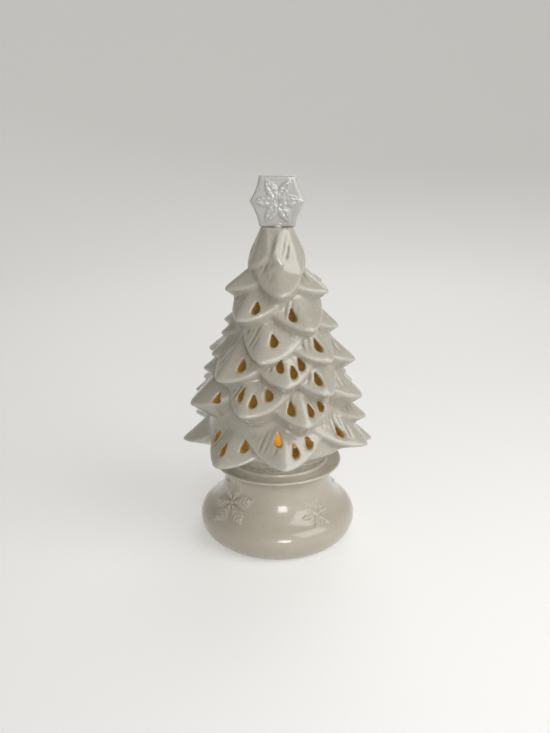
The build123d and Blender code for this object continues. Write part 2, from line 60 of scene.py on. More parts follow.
class Sock:
    """One output of a shader node, which takes part in sums as a number would."""

    def __init__(self, graph: "Graph", link: bpy.types.NodeSocket) -> None:
        """Wrap a node's output.

        Args:
            graph: The graph that holds the node.
            link: The node's output socket.
        """
        self.graph = graph
        self.link = link

    def math(self, operation: str, other: "Term") -> "Sock":
        """Join this value with another in a Math node.

        Args:
            operation: The Math node's operation.
            other: The second value.

        Returns:
            The sum's output.
        """
        return self.graph.node("ShaderNodeMath", {"operation": operation}, {0: self, 1: other})

    def __add__(self, other: "Term") -> "Sock":
        """This plus the other."""
        return self.math("ADD", other)

    def __radd__(self, other: float) -> "Sock":
        """A number plus this."""
        return self.math("ADD", other)

    def __sub__(self, other: "Term") -> "Sock":
        """This less the other."""
        return self.math("SUBTRACT", other)

    def __rsub__(self, other: float) -> "Sock":
        """A number less this."""
        return self.graph.node("ShaderNodeMath", {"operation": "SUBTRACT"}, {0: other, 1: self})

    def __mul__(self, other: "Term") -> "Sock":
        """This times the other."""
        return self.math("MULTIPLY", other)

    def __rmul__(self, other: float) -> "Sock":
        """A number times this."""
        return self.math("MULTIPLY", other)

    def ramp(self, low: float, high: float) -> "Sock":
        """Rise smoothly from 0 at one value to 1 at another.

        Args:
            low: The value that gives 0.
            high: The value that gives 1.

        Returns:
            The eased share.
        """
        inputs = {"Value": self, "From Min": low, "From Max": high}
        return self.graph.node("ShaderNodeMapRange", {"interpolation_type": "SMOOTHSTEP"}, inputs)


Term = Sock | float


class Graph:
    """The node graph of one material."""

    def __init__(self, name: str) -> None:
        """Start a material with an empty graph and one Principled shader.

        Args:
            name: The material's name.
        """
        self.material = bpy.data.materials.new(name)
        self.material.use_nodes = True
        self.tree = self.material.node_tree
        self.tree.nodes.clear()
        self.shader = self.tree.nodes.new("ShaderNodeBsdfPrincipled")
        output = self.tree.nodes.new("ShaderNodeOutputMaterial")
        self.tree.links.new(self.shader.outputs[0], output.inputs["Surface"])

    def node(
        self,
        kind: str,
        settings: dict[str, object] | None = None,
        inputs: dict[str | int, object] | None = None,
        output: str | int = 0,
    ) -> Sock:
        """Add a node.

        Args:
            kind: The node's type.
            settings: The node's own settings, which are set first.
            inputs: Values or links of its sockets, by name or number.
            output: The output that is handed back.

        Returns:
            The chosen output.
        """
        made = self.tree.nodes.new(kind)
        for name, value in (settings or {}).items():
            setattr(made, name, value)
        for name, value in (inputs or {}).items():
            if isinstance(value, Sock):
                self.tree.links.new(value.link, made.inputs[name])
            else:
                made.inputs[name].default_value = value
        return Sock(self, made.outputs[output])

    def coords(self) -> Sock:
        """Places in the object's own metres."""
        return self.node("ShaderNodeTexCoord", output="Object")

    def height(self) -> Sock:
        """Height above the table, in metres."""
        return self.node("ShaderNodeSeparateXYZ", None, {0: self.coords()}, "Z")

    def noise(self, scale: float, detail: float = 2.0, stretch: Sequence[float] | None = None) -> Sock:
        """Soft noise in the object's own metres.

        Args:
            scale: How many patches there are to a metre.
            detail: How many finer layers are added.
            stretch: A factor along each axis, where the noise isn't even.

        Returns:
            The noise, about 0 to 1.
        """
        place = self.coords()
        if stretch is not None:
            parts = {0: place, 1: tuple(stretch)}
            place = self.node("ShaderNodeVectorMath", {"operation": "MULTIPLY"}, parts)
        inputs = {"Vector": place, "Scale": scale, "Detail": detail}
        return self.node("ShaderNodeTexNoise", None, inputs, "Fac")

    def painted(self, name: str) -> Sock:
        """A number that the mesh carries at each point."""
        return self.node("ShaderNodeAttribute", {"attribute_name": name}, output="Fac")

    def ray(self, name: str) -> Sock:
        """Whether the ray that meets the surface is of one kind, 1 or 0."""
        return self.node("ShaderNodeLightPath", output=name)

    def mix(self, share: Term, first: "Tint", second: "Tint") -> Sock:
        """Blend two colours.

        Args:
            share: 0 for the first colour, 1 for the second.
            first: A colour or a link.
            second: A colour or a link.

        Returns:
            The blended colour.
        """

        def rgba(tint: "Tint") -> object:
            """A colour with its alpha, or the link itself."""
            return tint if isinstance(tint, Sock) else (*tint, 1.0)

        inputs = {0: share, 6: rgba(first), 7: rgba(second)}
        return self.node("ShaderNodeMix", {"data_type": "RGBA"}, inputs, 2)

    def bump(self, height: Sock, distance: float, strength: float = 1.0) -> None:
        """Roughen the shader's normal.

        Args:
            height: The height, 0 to 1.
            distance: The real depth of 1, in metres.
            strength: How much of it shows.
        """
        inputs = {"Height": height, "Distance": distance, "Strength": strength}
        self.set(Normal=self.node("ShaderNodeBump", None, inputs))

    def set(self, **values: object) -> None:
        """Set the shader's sockets, whose names are written with _ for a space."""
        for name, value in values.items():
            socket = self.shader.inputs[name.replace("_", " ")]
            if isinstance(value, Sock):
                self.tree.links.new(value.link, socket)
            elif isinstance(value, tuple) and len(value) == 3:
                socket.default_value = (*value, 1.0)
            else:
                socket.default_value = value


Tint = Sock | Colour


# Finishes


@dataclass(frozen=True)
class Glaze:
    """Shiny white glaze over cast clay, greyer where it pools, with painted shade in hollows, and whiter over
    edges, where it is thin and has a painted highlight.
    """

    name: str
    body: Colour
    # The next tone is greyer pooled glaze with painted shade in hollows; the one after is whiter thin glaze
    # with a painted highlight on edges.
    pooled_and_shaded: Colour
    edge: Colour
    speck: Colour = (0.34, 0.29, 0.22)
    gloss: float = 0.2
    coat: float = 0.8
    coat_roughness: float = 0.05
    ripple: float = 0.15
    ripple_depth: float = 0.00035
    ripple_scale: float = 260.0
    peel_scale: float = 1100.0
    cloud_scale: float = 55.0
    uneven_scale: float = 160.0
    speck_scale: float = 900.0
    speck_patch_scale: float = 70.0
    flicker_scale: float = 120.0
    glowing: bool = False
    # The groove tone is painted shade in the needle grooves.
    groove: Colour = (0.215, 0.180, 0.130)
    # The next three tones paint the tealight's warm light on the inner walls: the colour there, and the glow
    # that they emit, low down and higher up.
    inside: Colour = (0.15, 0.082, 0.016)
    painted_glow: Colour = (0.125, 0.061, 0.0055)
    painted_glow_top: Colour = (0.080, 0.040, 0.0036)
    glow_low: float = 0.10
    glow_high: float = 0.23

    def material(self) -> bpy.types.Material:
        """Make the material.

        Returns:
            The glaze, with its pooling and painted shade in hollows, its painted highlight on edges, specks,
            painted shade in the needle grooves, ripple and, where it is lit from inside, its painted glow.
        """
        graph = Graph(self.name)
        # Pooled glaze and painted shade in hollows darken the colour; thin glaze and a painted highlight on
        # edges lighten it.
        pool_and_painted_light = graph.painted("pool_and_painted_light")
        cloud = graph.noise(self.cloud_scale, 3.0)
        colour = graph.mix(cloud.ramp(0.35, 0.75) * 0.25, self.body, self.edge)
        colour = graph.mix(pool_and_painted_light.ramp(0.2, 1.3), colour, self.pooled_and_shaded)
        colour = graph.mix(pool_and_painted_light.ramp(-0.10, -0.9) * 0.8, colour, self.edge)
        speck_patch = graph.noise(self.speck_patch_scale, 1.0).ramp(0.5, 0.62)
        specks = graph.noise(self.speck_scale, 1.0).ramp(0.735, 0.775) * speck_patch
        colour = graph.mix(specks * 0.5, colour, self.speck)
        # Painted shade in the needle grooves.
        colour = graph.mix(graph.painted("groove") * 0.5, colour, self.groove)
        # Painted light: where the tealight lights the inner walls, the colour turns warm amber.
        glow = graph.painted("glow")
        colour = graph.mix(glow, colour, self.inside)
        uneven = graph.noise(self.uneven_scale, 2.0)
        roughness = self.gloss + 0.14 * uneven.ramp(0.3, 0.8) + 0.08 * pool_and_painted_light.ramp(0.1, 0.9) + 0.45 * glow
        graph.set(Base_Color=colour, Roughness=roughness)
        graph.set(Coat_Weight=self.coat * (1.0 - glow), Coat_Roughness=self.coat_roughness)
        ripple = graph.noise(self.ripple_scale, 2.0) * 0.7 + graph.noise(self.peel_scale, 2.0) * 0.3
        graph.bump(ripple, self.ripple_depth, self.ripple)
        # Painted glow: the lit inner walls emit a warm colour, dimmer higher up, with a flicker.
        if self.glowing:
            height = graph.height().ramp(self.glow_low, self.glow_high)
            painted_glow = graph.mix(height, self.painted_glow, self.painted_glow_top)
            flicker = 0.82 + 0.36 * graph.noise(self.flicker_scale, 2.0)
            graph.set(Emission_Color=graph.mix(glow * flicker, BLACK, painted_glow), Emission_Strength=1.0)
        return graph.material


@dataclass(frozen=True)
class MouldedPlastic:
    """Moulded plastic with a faint grain and sink marks."""

    name: str
    body: Colour
    shade: Colour
    roughness: float
    cloud_scale: float = 140.0
    grain_scale: float = 2600.0
    grain_depth: float = 0.00012

    def material(self) -> bpy.types.Material:
        """Make the material.

        Returns:
            The plastic.
        """
        graph = Graph(self.name)
        cloud = graph.noise(self.cloud_scale, 3.0)
        grain = graph.noise(self.grain_scale, 2.0)
        graph.set(Base_Color=graph.mix(cloud.ramp(0.3, 0.8), self.body, self.shade))
        graph.set(Roughness=self.roughness + 0.16 * cloud.ramp(0.25, 0.75))
        graph.bump(grain * 0.5 + cloud * 0.5, self.grain_depth, 0.5)
        return graph.material


@dataclass(frozen=True)
class AmberLight:
    """Translucent amber moulding that is lit from its foot."""

    name: str
    body: Colour
    low: Colour
    high: Colour
    foot: float
    tip: float
    swirl_scale: float = 300.0
    swirl_stretch: tuple[float, float, float] = (1.0, 1.0, 0.35)
    swirl_depth: float = 0.0002

    def material(self) -> bpy.types.Material:
        """Make the material.

        Returns:
            The lit moulding.
        """
        graph = Graph(self.name)
        height = graph.height().ramp(self.foot, self.tip)
        swirl = graph.noise(self.swirl_scale, 2.0, self.swirl_stretch)
        glow = graph.mix(height * 0.8 + 0.2 * swirl, self.low, self.high)
        graph.set(Base_Color=graph.mix(swirl, self.body, self.high), Roughness=0.25 + 0.1 * swirl)
        graph.set(Emission_Color=glow, Emission_Strength=1.0)
        graph.bump(swirl, self.swirl_depth, 0.6)
        return graph.material


@dataclass(frozen=True)
class BrightMetal:
    """Plated or rolled metal with fine scratches along one way."""

    name: str
    body: Colour
    worn: Colour
    roughness: float
    stretch: tuple[float, float, float] = (1.0, 0.06, 1.0)
    scratch_scale: float = 3200.0
    scratch_depth: float = 0.00004
    stain_scale: float = 260.0

    def material(self) -> bpy.types.Material:
        """Make the material.

        Returns:
            The metal.
        """
        graph = Graph(self.name)
        scratch = graph.noise(self.scratch_scale, 3.0, self.stretch)
        stain = graph.noise(self.stain_scale, 3.0)
        graph.set(Base_Color=graph.mix(stain.ramp(0.35, 0.8), self.body, self.worn), Metallic=1.0)
        graph.set(Roughness=self.roughness + 0.2 * scratch.ramp(0.3, 0.75))
        graph.bump(scratch, self.scratch_depth, 0.6)
        return graph.material


@dataclass(frozen=True)
class StudioPaper:
    """Pale seamless paper under and behind the object."""

    name: str
    body: Colour
    paleness: float = 0.42
    fibre_scale: float = 420.0
    fibre_depth: float = 0.0001

    def material(self) -> bpy.types.Material:
        """Make the material.

        Returns:
            The paper.
        """
        graph = Graph(self.name)
        fibre = graph.noise(self.fibre_scale, 3.0)
        darker = tuple(0.97 * part for part in self.body)
        graph.set(Base_Color=graph.mix(fibre, self.body, darker), Roughness=0.95)
        mirrored = graph.ray("Is Glossy Ray") + graph.ray("Is Transmission Ray")
        seen = graph.ray("Is Camera Ray") + mirrored
        graph.set(Emission_Color=graph.mix(seen, BLACK, self.body), Emission_Strength=self.paleness)
        graph.bump(fibre, self.fibre_depth, 0.2)
        return graph.material


# The tree's glaze carries the painted glow of the tealight's light on its inner walls.
LIT_GLAZE = Glaze(
    "lit_white_glaze", (0.500, 0.474, 0.398), (0.320, 0.284, 0.216), (0.600, 0.582, 0.515), glowing=True
)
SATIN_GLAZE = Glaze(
    "satin_white_glaze",
    (0.540, 0.490, 0.405),
    (0.360, 0.314, 0.240),
    (0.640, 0.598, 0.514),
    gloss=0.27,
    ripple=0.16,
)
PEARL_GLAZE = Glaze(
    "pearl_glaze", (0.520, 0.515, 0.490), (0.390, 0.385, 0.365), (0.640, 0.640, 0.620), coat=0.6
)
IVORY_PLASTIC = MouldedPlastic("ivory_plastic", (0.72, 0.66, 0.50), (0.60, 0.53, 0.38), 0.32)
BLACK_PLASTIC = MouldedPlastic("black_plastic", (0.028, 0.028, 0.030), (0.045, 0.045, 0.048), 0.45)
LAMP_RESIN = AmberLight("lamp_resin", (0.8, 0.55, 0.2), (0.85, 0.42, 0.06), (1.0, 0.70, 0.25), 0.072, 0.081)
AMBER_PLASTIC = AmberLight(
    "amber_plastic", (0.60, 0.28, 0.04), (0.44, 0.15, 0.006), (0.66, 0.33, 0.035), 0.074, 0.092
)
CELL_STEEL = BrightMetal("cell_steel", (0.66, 0.66, 0.65), (0.50, 0.49, 0.47), 0.24)
SPRING_STRIP = BrightMetal("spring_strip", (0.62, 0.60, 0.55), (0.48, 0.45, 0.39), 0.22, (0.06, 1.0, 1.0))
TINNED_WIRE = BrightMetal("tinned_wire", (0.70, 0.70, 0.68), (0.52, 0.52, 0.50), 0.28, (1.0, 1.0, 0.06))
STUDIO_PAPER = StudioPaper("studio_paper", (0.78, 0.78, 0.77))


# Meshes and distance fields, in millimetres


def smooth_max(first: np.ndarray, second: np.ndarray, round_off: float) -> np.ndarray:
    """Larger of two distances, with the corner between them rounded.

    Args:
        first: Distances to one surface.
        second: Distances to the other.
        round_off: How wide the rounding is.

    Returns:
        The distances to what both have in common.
    """
    near = np.maximum(round_off - np.abs(first - second), 0.0) / round_off
    return np.maximum(first, second) + near * near * round_off * 0.25


def smooth_min(first: np.ndarray, second: np.ndarray, round_off: float) -> np.ndarray:
    """Smaller of two distances, with the corner between them filled.

    Args:
        first: Distances to one surface.
        second: Distances to the other.
        round_off: How wide the filling is.

    Returns:
        The distances to the two joined.
    """
    return -smooth_max(-first, -second, round_off)


def ease(value: np.ndarray, low: float, high: float) -> np.ndarray:
    """Rise smoothly from 0 at low to 1 at high.

    Args:
        value: The values.
        low: The value that gives 0.
        high: The value that gives 1.

    Returns:
        The eased shares.
    """
    share = np.clip((value - low) / (high - low), 0.0, 1.0)
    return share * share * (3.0 - 2.0 * share)


def wobble(place: np.ndarray, seed: float) -> np.ndarray:
    """Uneven waves about 0, the same on each run.

    Args:
        place: Where the waves are read, in radians of the slowest.
        seed: Shifts the waves.

    Returns:
        Values from about -1 to 1.
    """
    slow = 0.55 * np.sin(place + seed)
    quicker = 0.3 * np.sin(2.3 * place + 1.7 * seed)
    quickest = 0.15 * np.sin(4.1 * place + 2.9 * seed)
    return slow + quicker + quickest


def add_object(name: str, data: bpy.types.ID) -> bpy.types.Object:
    """Make an object and link it to the scene."""
    made = bpy.data.objects.new(name, data)
    bpy.context.scene.collection.objects.link(made)
    return made


def mesh_piece(name: str, points: np.ndarray, faces: Sequence[Sequence[int]]) -> bpy.types.Object:
    """Make a smooth-shaded mesh object.

    Args:
        name: The piece's name.
        points: Its points in millimetres.
        faces: Its faces.

    Returns:
        The new object, linked to the scene.
    """
    mesh = bpy.data.meshes.new(name)
    mesh.from_pydata((np.asarray(points) * MM).tolist(), [], [list(map(int, face)) for face in faces])
    mesh.update()
    mesh.shade_smooth()
    return add_object(name, mesh)


def paint(piece: bpy.types.Object, name: str, values: np.ndarray) -> None:
    """Store a number at each point of a mesh.

    Args:
        piece: The mesh object.
        name: The attribute's name.
        values: One number for each point.
    """
    attribute = piece.data.attributes.new(name, "FLOAT", "POINT")
    attribute.data.foreach_set("value", np.asarray(values, np.float32))


def dress(piece: bpy.types.Object, material: bpy.types.Material) -> None:
    """Give an object one material in place of what it has."""
    piece.data.materials.clear()
    piece.data.materials.append(material)


def arc(centre: Point, radius: float, start: float, end: float, count: int) -> list[Point]:
    """Points along a round stretch of an outline.

    Args:
        centre: The arc's centre.
        radius: Its radius.
        start: Its first angle in degrees.
        end: Its last angle in degrees.
        count: How many points it gets.

    Returns:
        The points, both ends included.
    """
    turns = np.radians(np.linspace(start, end, count))
    return [(centre[0] + radius * math.cos(turn), centre[1] + radius * math.sin(turn)) for turn in turns]


def even_steps(outline: Sequence[Point], longest: float) -> np.ndarray:
    """Divide an outline's long runs.

    Args:
        outline: The outline's points.
        longest: The longest run that may stay.

    Returns:
        The outline with more points.
    """
    points = [outline[0]]
    for start, end in zip(outline[:-1], outline[1:]):
        count = max(1, math.ceil(math.dist(start, end) / longest))
        for step in range(1, count + 1):
            share = step / count
            points.append((start[0] + share * (end[0] - start[0]), start[1] + share * (end[1] - start[1])))
    return np.array(points)


ON_AXIS = 1e-6


def even_turns(count: int) -> np.ndarray:
    """Angles of evenly spaced columns, in radians."""
    return np.linspace(0.0, 2.0 * math.pi, count, endpoint=False)


def lathe(profile: np.ndarray, turns: np.ndarray) -> Skin:
    """Turn a profile of radius and height round the upright axis.

    Args:
        profile: Radii and heights.
        turns: The angles of the columns, in radians.

    Returns:
        The points and the faces.
    """
    columns = len(turns)
    points: list[tuple[float, float, float]] = []
    rows: list[list[int]] = []
    for radius, height in profile:
        first = len(points)
        if radius < ON_AXIS:
            points.append((0.0, 0.0, height))
            rows.append([first] * columns)
            continue
        points.extend((radius * math.sin(turn), -radius * math.cos(turn), height) for turn in turns)
        rows.append(list(range(first, first + columns)))
    faces: list[list[int]] = []
    for lower, upper in zip(rows[:-1], rows[1:]):
        for here in range(columns):
            after = (here + 1) % columns
            corners = [lower[here], lower[after], upper[after], upper[here]]
            faces.append(list(dict.fromkeys(corners)))
    return np.array(points), faces


def closed_lathe(profile: np.ndarray, turns: np.ndarray) -> Skin:
    """Turn a closed outline, whose first point is off the axis, round the upright axis.

    Args:
        profile: Radii and heights, without the first point again at the end.
        turns: The angles of the columns, in radians.

    Returns:
        The points and the faces, with the last row of faces joined to the first row of points.
    """
    points, faces = lathe(np.vstack([profile, profile[:1]]), turns)
    used = len(points) - len(turns)
    return points[:used], [[index % used for index in face] for face in faces]


@dataclass
class VoxelBlock:
    """A block of space in which a form is worked out as distances and then skinned."""

    low: tuple[float, float, float]
    high: tuple[float, float, float]
    pitch: float
    x: np.ndarray = field(init=False)
    y: np.ndarray = field(init=False)
    z: np.ndarray = field(init=False)

    def __post_init__(self) -> None:
        """Work out the sample places along each axis."""
        self.x, self.y, self.z = (
            np.arange(low, high + self.pitch, self.pitch, dtype=np.float32)
            for low, high in zip(self.low, self.high)
        )

    def origin(self) -> np.ndarray:
        """The first sample's place."""
        return np.array([self.x[0], self.y[0], self.z[0]])

    def grid(self) -> tuple[np.ndarray, np.ndarray, np.ndarray]:
        """The three axes, shaped so that sums on them fill the block."""
        return self.x[:, None, None], self.y[None, :, None], self.z[None, None, :]

    def patch(self, centre: Sequence[float], reach: Sequence[float]) -> tuple[np.ndarray, ...]:
        """Index a smaller block.

        Args:
            centre: The middle of the smaller block.
            reach: How far it goes each way along each axis.

        Returns:
            The index arrays of the samples in it.
        """
        picks = [
            np.where(np.abs(axis - middle) < extent)[0]
            for axis, middle, extent in zip((self.x, self.y, self.z), centre, reach)
        ]
        return np.ix_(*picks)

    def places(self, patch: tuple[np.ndarray, ...]) -> tuple[np.ndarray, np.ndarray, np.ndarray]:
        """Sample places of a smaller block along each axis."""
        return self.x[patch[0]], self.y[patch[1]], self.z[patch[2]]

    def sample(self, values: np.ndarray, points: np.ndarray) -> np.ndarray:
        """Read a field at free points.

        Args:
            values: The field, one value for each sample place.
            points: The points.

        Returns:
            The values there, blended between the nearest places.
        """
        place = (points - self.origin()) / self.pitch
        whole = np.clip(np.floor(place).astype(int), 0, np.array(values.shape) - 2)
        part = place - whole
        result = np.zeros(len(points))
        for corner in np.ndindex(2, 2, 2):
            share = np.prod(np.where(corner, part, 1.0 - part), axis=1)
            result += share * values[tuple((whole + corner).T)]
        return result

    def skin(self, distance: np.ndarray, thinning: float = 0.0) -> Skin:
        """Skin the form where its distance is nought.

        Args:
            distance: Distances, below nought inside the form.
            thinning: How readily faces are joined where the skin is flat, 0 to 1.

        Returns:
            The points and the faces, which look outwards.
        """
        volume = vdb.FloatGrid()
        volume.copyFromArray(np.ascontiguousarray(distance, dtype=np.float32))
        points, triangles, quads = volume.convertToPolygons(0.0, thinning)
        faces = [*triangles[:, ::-1].tolist(), *quads[:, ::-1].tolist()]
        return points * self.pitch + self.origin(), faces


def hollows(distance: np.ndarray, reach: int, pitch: float) -> np.ndarray:
    """How hollow or sharp a form is at each place.

    Args:
        distance: Distances to the form.
        reach: How many samples away the form is compared.
        pitch: The samples' spacing.

    Returns:
        Above nought in hollows, below nought at edges.
    """
    total = -6.0 * distance
    for axis in range(3):
        total = total + np.roll(distance, reach, axis) + np.roll(distance, -reach, axis)
    return -total / (reach * pitch)


# Tree shade


# How far the rear of the tree is drawn in, and how far on the right face's pattern of grooves starts
REAR_INSET = 5.0
RIGHT_FACE = 31.0


@dataclass(frozen=True)
class Bough:
    """One keeled bough: where its tip is, how wide each side is and which teardrops pierce it."""

    azimuth: float
    height: float
    reach: float
    left: float
    right: float
    slope: float
    holes: tuple[Point, ...] = ()

    def turned(self, inset: float = 0.0) -> "Bough":
        """The same bough on the other side of the tree, drawn in by so much."""
        return replace(self, azimuth=self.azimuth + 180, reach=self.reach - inset)


UPPER_BOUGHS = (
    Bough(-58, 162.5, 26.5, 16, 13, 23),
    Bough(45, 160.5, 27.5, 18, 14, 24),
    Bough(-66, 147.5, 46, 24, 28, 56),
    Bough(3, 147, 47, 19, 19, 52),
    Bough(62, 146, 46, 28, 24, 56),
    Bough(-88, 107.5, 47, 22, 22, 48),
    Bough(-37, 128, 53, 22, 27, 45, ((9, 9),)),
    Bough(30, 121, 54, 26, 28, 45, ((-9, 10.5),)),
    Bough(78, 116, 51, 26, 22, 48),
    Bough(-74, 93.5, 56, 24, 28, 48),
    Bough(-13, 100, 62, 20, 30, 45, ((7, 13.5),)),
    Bough(42, 97, 63, 27, 25, 47, ((-3, 11),)),
    Bough(74, 90, 66, 24, 24, 50),
    Bough(-95, 75.5, 63, 24, 24, 48),
    Bough(-43, 83, 69, 24, 32, 46, ((11, 11),)),
    Bough(6, 83, 68, 27, 28, 45, ((-3.5, 13), (6, 9), (12.5, 12.5))),
    Bough(35, 74, 71, 24, 27, 47, ((-3, 10.5),)),
    Bough(69, 62, 74, 24, 24, 49),
    Bough(-100, 54, 71.5, 22, 22, 47),
    Bough(-66, 57, 77, 26, 30, 47, ((16, 8.5),)),
    Bough(-23, 60.5, 74.5, 23, 34, 45, ((-4.5, 12.5), (6, 9.5), (15, 13))),
    Bough(18, 52.5, 74.5, 28, 33, 45, ((-8, 11), (6, 9.5), (16, 10))),
    Bough(82, 38.5, 75.5, 26, 24, 49),
)
LOWEST_BOUGHS = (
    Bough(-90, 14, 81.5, 26, 28, 47),
    Bough(-37, 16, 80.5, 34, 36, 46, ((-18, 15), (-2, 11.5), (12, 15))),
    Bough(4, 20.5, 80, 34, 38, 45, ((-3.5, 18), (9, 10.5), (20, 13.5))),
    Bough(63, 24.5, 82.5, 32, 28, 49, ((-12, 12.5),)),
)


@dataclass
class TreeShade:
    """The hollow, pierced tree: a tapering body under rows of keeled boughs with needle grooves."""

    mouth: float = 68.0
    top: float = 261.0
    wall: float = 4.5
    collar_radius: float = 41.0
    collar_height: float = 2.0
    skirt_radius: float = 61.0
    skirt_height: float = 20.0
    tip_radius: float = 12.5
    hollow_top: float = 240.0
    keel: float = 21.0
    keel_round: float = 3.6
    keel_lift: float = 0.8
    underside_fall: float = 0.75
    lip_round: float = 1.9
    join_round: float = 1.8
    shoulder: float = 0.95
    length: float = 2.6
    taper: float = 0.65
    crown_taper: float = 0.42
    hole_radius: float = 2.8
    hole_drop: float = 2.2
    hole_point: float = 5.0
    hole_fan: float = 1.5
    pocket: float = 11.0
    needle_pitch: float = 3.4
    needle_lean: float = 27.0
    needle_depth: float = 1.0
    needle_waver: float = 0.22
    needle_wave: float = 9.0
    right_needles: float = 0.25
    keel_clear: float = 1.5
    edge_clear: Point = (1.0, 6.0)
    tip_clear: Point = (5.0, 11.0)
    root_out: float = 6.0
    cutter_start: float = 10.0
    skirt_round: float = 3.0
    top_round: float = 0.8
    mouth_round: float = 1.0
    inner_skirt_lift: float = 1.5
    inner_collar_lift: float = 2.6
    mouth_overlap: float = 1.0
    hollow_round: float = 4.0
    pocket_round: float = 3.0
    pocket_join: float = 2.0
    pocket_room: float = 9.0
    inner_edge_round: float = 0.8
    hole_round: float = 0.9
    hole_room: tuple[float, float, float] = (24.0, 24.0, 11.0)
    peg_radius: float = 4.3
    peg_depth: float = 8.3
    glow_depth: Point = (0.5, 1.9)
    # Spread and strength of the pooled glaze and painted shade in hollows, and of the painted highlight on
    # edges.
    pool_and_light_reach: int = 2
    pool_and_light_share: float = 0.9
    groove_span: Point = (-20.0, 70.0)
    groove_skin: float = 2.0
    groove_roof: Point = (-2.2, -1.0)
    room: float = 3.0
    pitch: float = 1.1
    thinning: float = 0.04
    boughs: tuple[Bough, ...] = (
        *UPPER_BOUGHS,
        *LOWEST_BOUGHS,
        *(bough.turned(REAR_INSET) for bough in UPPER_BOUGHS),
        *(bough.turned() for bough in LOWEST_BOUGHS),
    )

    def local(self, bough: Bough, x: np.ndarray, y: np.ndarray, z: np.ndarray) -> tuple[np.ndarray, ...]:
        """Places as a bough sees them.

        Args:
            bough: The bough.
            x: Places along X.
            y: Places along Y.
            z: Places along Z.

        Returns:
            How far out from the axis, to the right and above its tip each place is.
        """
        turn = math.radians(bough.azimuth)
        out = x * math.sin(turn) - y * math.cos(turn)
        across = x * math.cos(turn) + y * math.sin(turn)
        return out, across, z - (self.mouth + bough.height)

    def needles(self, bough: Bough, across: np.ndarray, up: np.ndarray) -> np.ndarray:
        """Share of the full depth that the needle grooves have on a bough's two faces.

        Args:
            bough: The bough.
            across: Places to the right of its keel.
            up: Places above its tip.

        Returns:
            0 beside the grooves to 1 in the deepest.
        """
        seed = 0.37 * bough.azimuth + 0.11 * bough.height
        aside = np.abs(across)
        lean = math.radians(self.needle_lean)
        along = aside * math.sin(lean) - up * math.cos(lean)
        between = aside * math.cos(lean) + up * math.sin(lean)
        row = between / self.needle_pitch + self.needle_waver * wobble(along / self.needle_wave, seed)
        stroke = 0.5 + 0.5 * np.cos(2.0 * math.pi * row)
        which = np.round(row) + np.where(across > 0, RIGHT_FACE, 0.0)
        strength = np.clip(0.7 + 0.4 * np.sin(2.2 * which + 7.1 * seed), 0.0, 1.0)
        half_width = np.where(across > 0, bough.right, bough.left)
        edge = half_width - aside - 0.5 * np.maximum(0.0, self.shoulder * half_width - up)
        start = 2.0 * self.keel_clear + 4.0 * strength
        inside = ease(aside, self.keel_clear, start) * ease(edge, *self.edge_clear)
        side = np.where(across > 0, self.right_needles, 1.0)
        return side * strength * stroke**2 * inside * ease(up, *self.tip_clear)

    def bough_field(self, bough: Bough, x: np.ndarray, y: np.ndarray, z: np.ndarray) -> np.ndarray:
        """Distances to one bough.

        Args:
            bough: The bough.
            x: Places along X.
            y: Places along Y.
            z: Places along Z.

        Returns:
            The distances.
        """
        out, across, up = self.local(bough, x, y, z)
        mean_width = 0.5 * (bough.left + bough.right)
        widest = self.shoulder * mean_width
        room = self.top - self.mouth - bough.height
        length = min(self.length * mean_width, room)
        share = self.taper if length < room else self.crown_taper
        aside = np.abs(across)
        slope = math.radians(bough.slope)
        fall = min(self.underside_fall, bough.height / bough.reach)
        keel_fall = math.tan(math.radians(self.keel)) / math.cos(slope)
        rise = (up + fall * (bough.reach - out - aside * keel_fall)) / (1.0 + fall * math.tan(slope))
        width = np.where(across > 0, bough.right, bough.left)
        radius = (width * width + widest * widest) / (2.0 * width)
        low = np.hypot(aside + (radius - width), rise - widest) - radius
        narrowing = (1.0 - share) * width / (length - widest)
        high = (aside - (width - narrowing * (rise - widest))) / np.sqrt(1.0 + narrowing * narrowing)
        leaf = np.maximum(np.where(rise < widest, low, high), rise - length)
        roof = self.roof(bough, out, across, up) + self.needle_depth * self.needles(bough, across, up)
        return np.maximum(smooth_max(roof, leaf, self.lip_round), self.root_out - out)

    def roof(self, bough: Bough, out: np.ndarray, across: np.ndarray, up: np.ndarray) -> np.ndarray:
        """Distances to the two sloping faces of a bough, without their needle grooves.

        Args:
            bough: The bough.
            out: How far out from the axis each place is.
            across: How far to the right of its keel.
            up: How far above its tip.

        Returns:
            The distances.
        """
        slope, keel = math.radians(bough.slope), math.radians(self.keel)
        face = (out - bough.reach) * math.cos(slope) + up * math.sin(slope)
        lean = across * math.sin(keel)
        flat = face * math.cos(keel)
        return smooth_max(flat + lean, flat - lean, self.keel_round) - self.keel_lift

    def hole_field(
        self, bough: Bough, hole: Point, x: np.ndarray, y: np.ndarray, z: np.ndarray
    ) -> np.ndarray:
        """Distances to one teardrop cutter.

        Args:
            bough: The bough that it pierces.
            hole: The teardrop's middle, to the right of and above the bough's tip.
            x: Places along X.
            y: Places along Y.
            z: Places along Z.

        Returns:
            The distances.
        """
        out, across, up = self.local(bough, x, y, z)
        fan = math.atan2(-hole[0], self.hole_fan * bough.left - hole[1])
        right, above = across - hole[0], up - hole[1]
        side = np.abs(right * math.cos(fan) - above * math.sin(fan))
        rise = right * math.sin(fan) + above * math.cos(fan)
        sine = self.hole_radius / (self.hole_point + self.hole_drop)
        cosine = math.sqrt(1.0 - sine * sine)
        ball = np.hypot(side, rise + self.hole_drop) - self.hole_radius
        flank = side * cosine + (rise - self.hole_point) * sine
        drop = np.where(rise + self.hole_drop > self.hole_radius * sine, flank, ball)
        return np.maximum(drop, self.cutter_start - out)

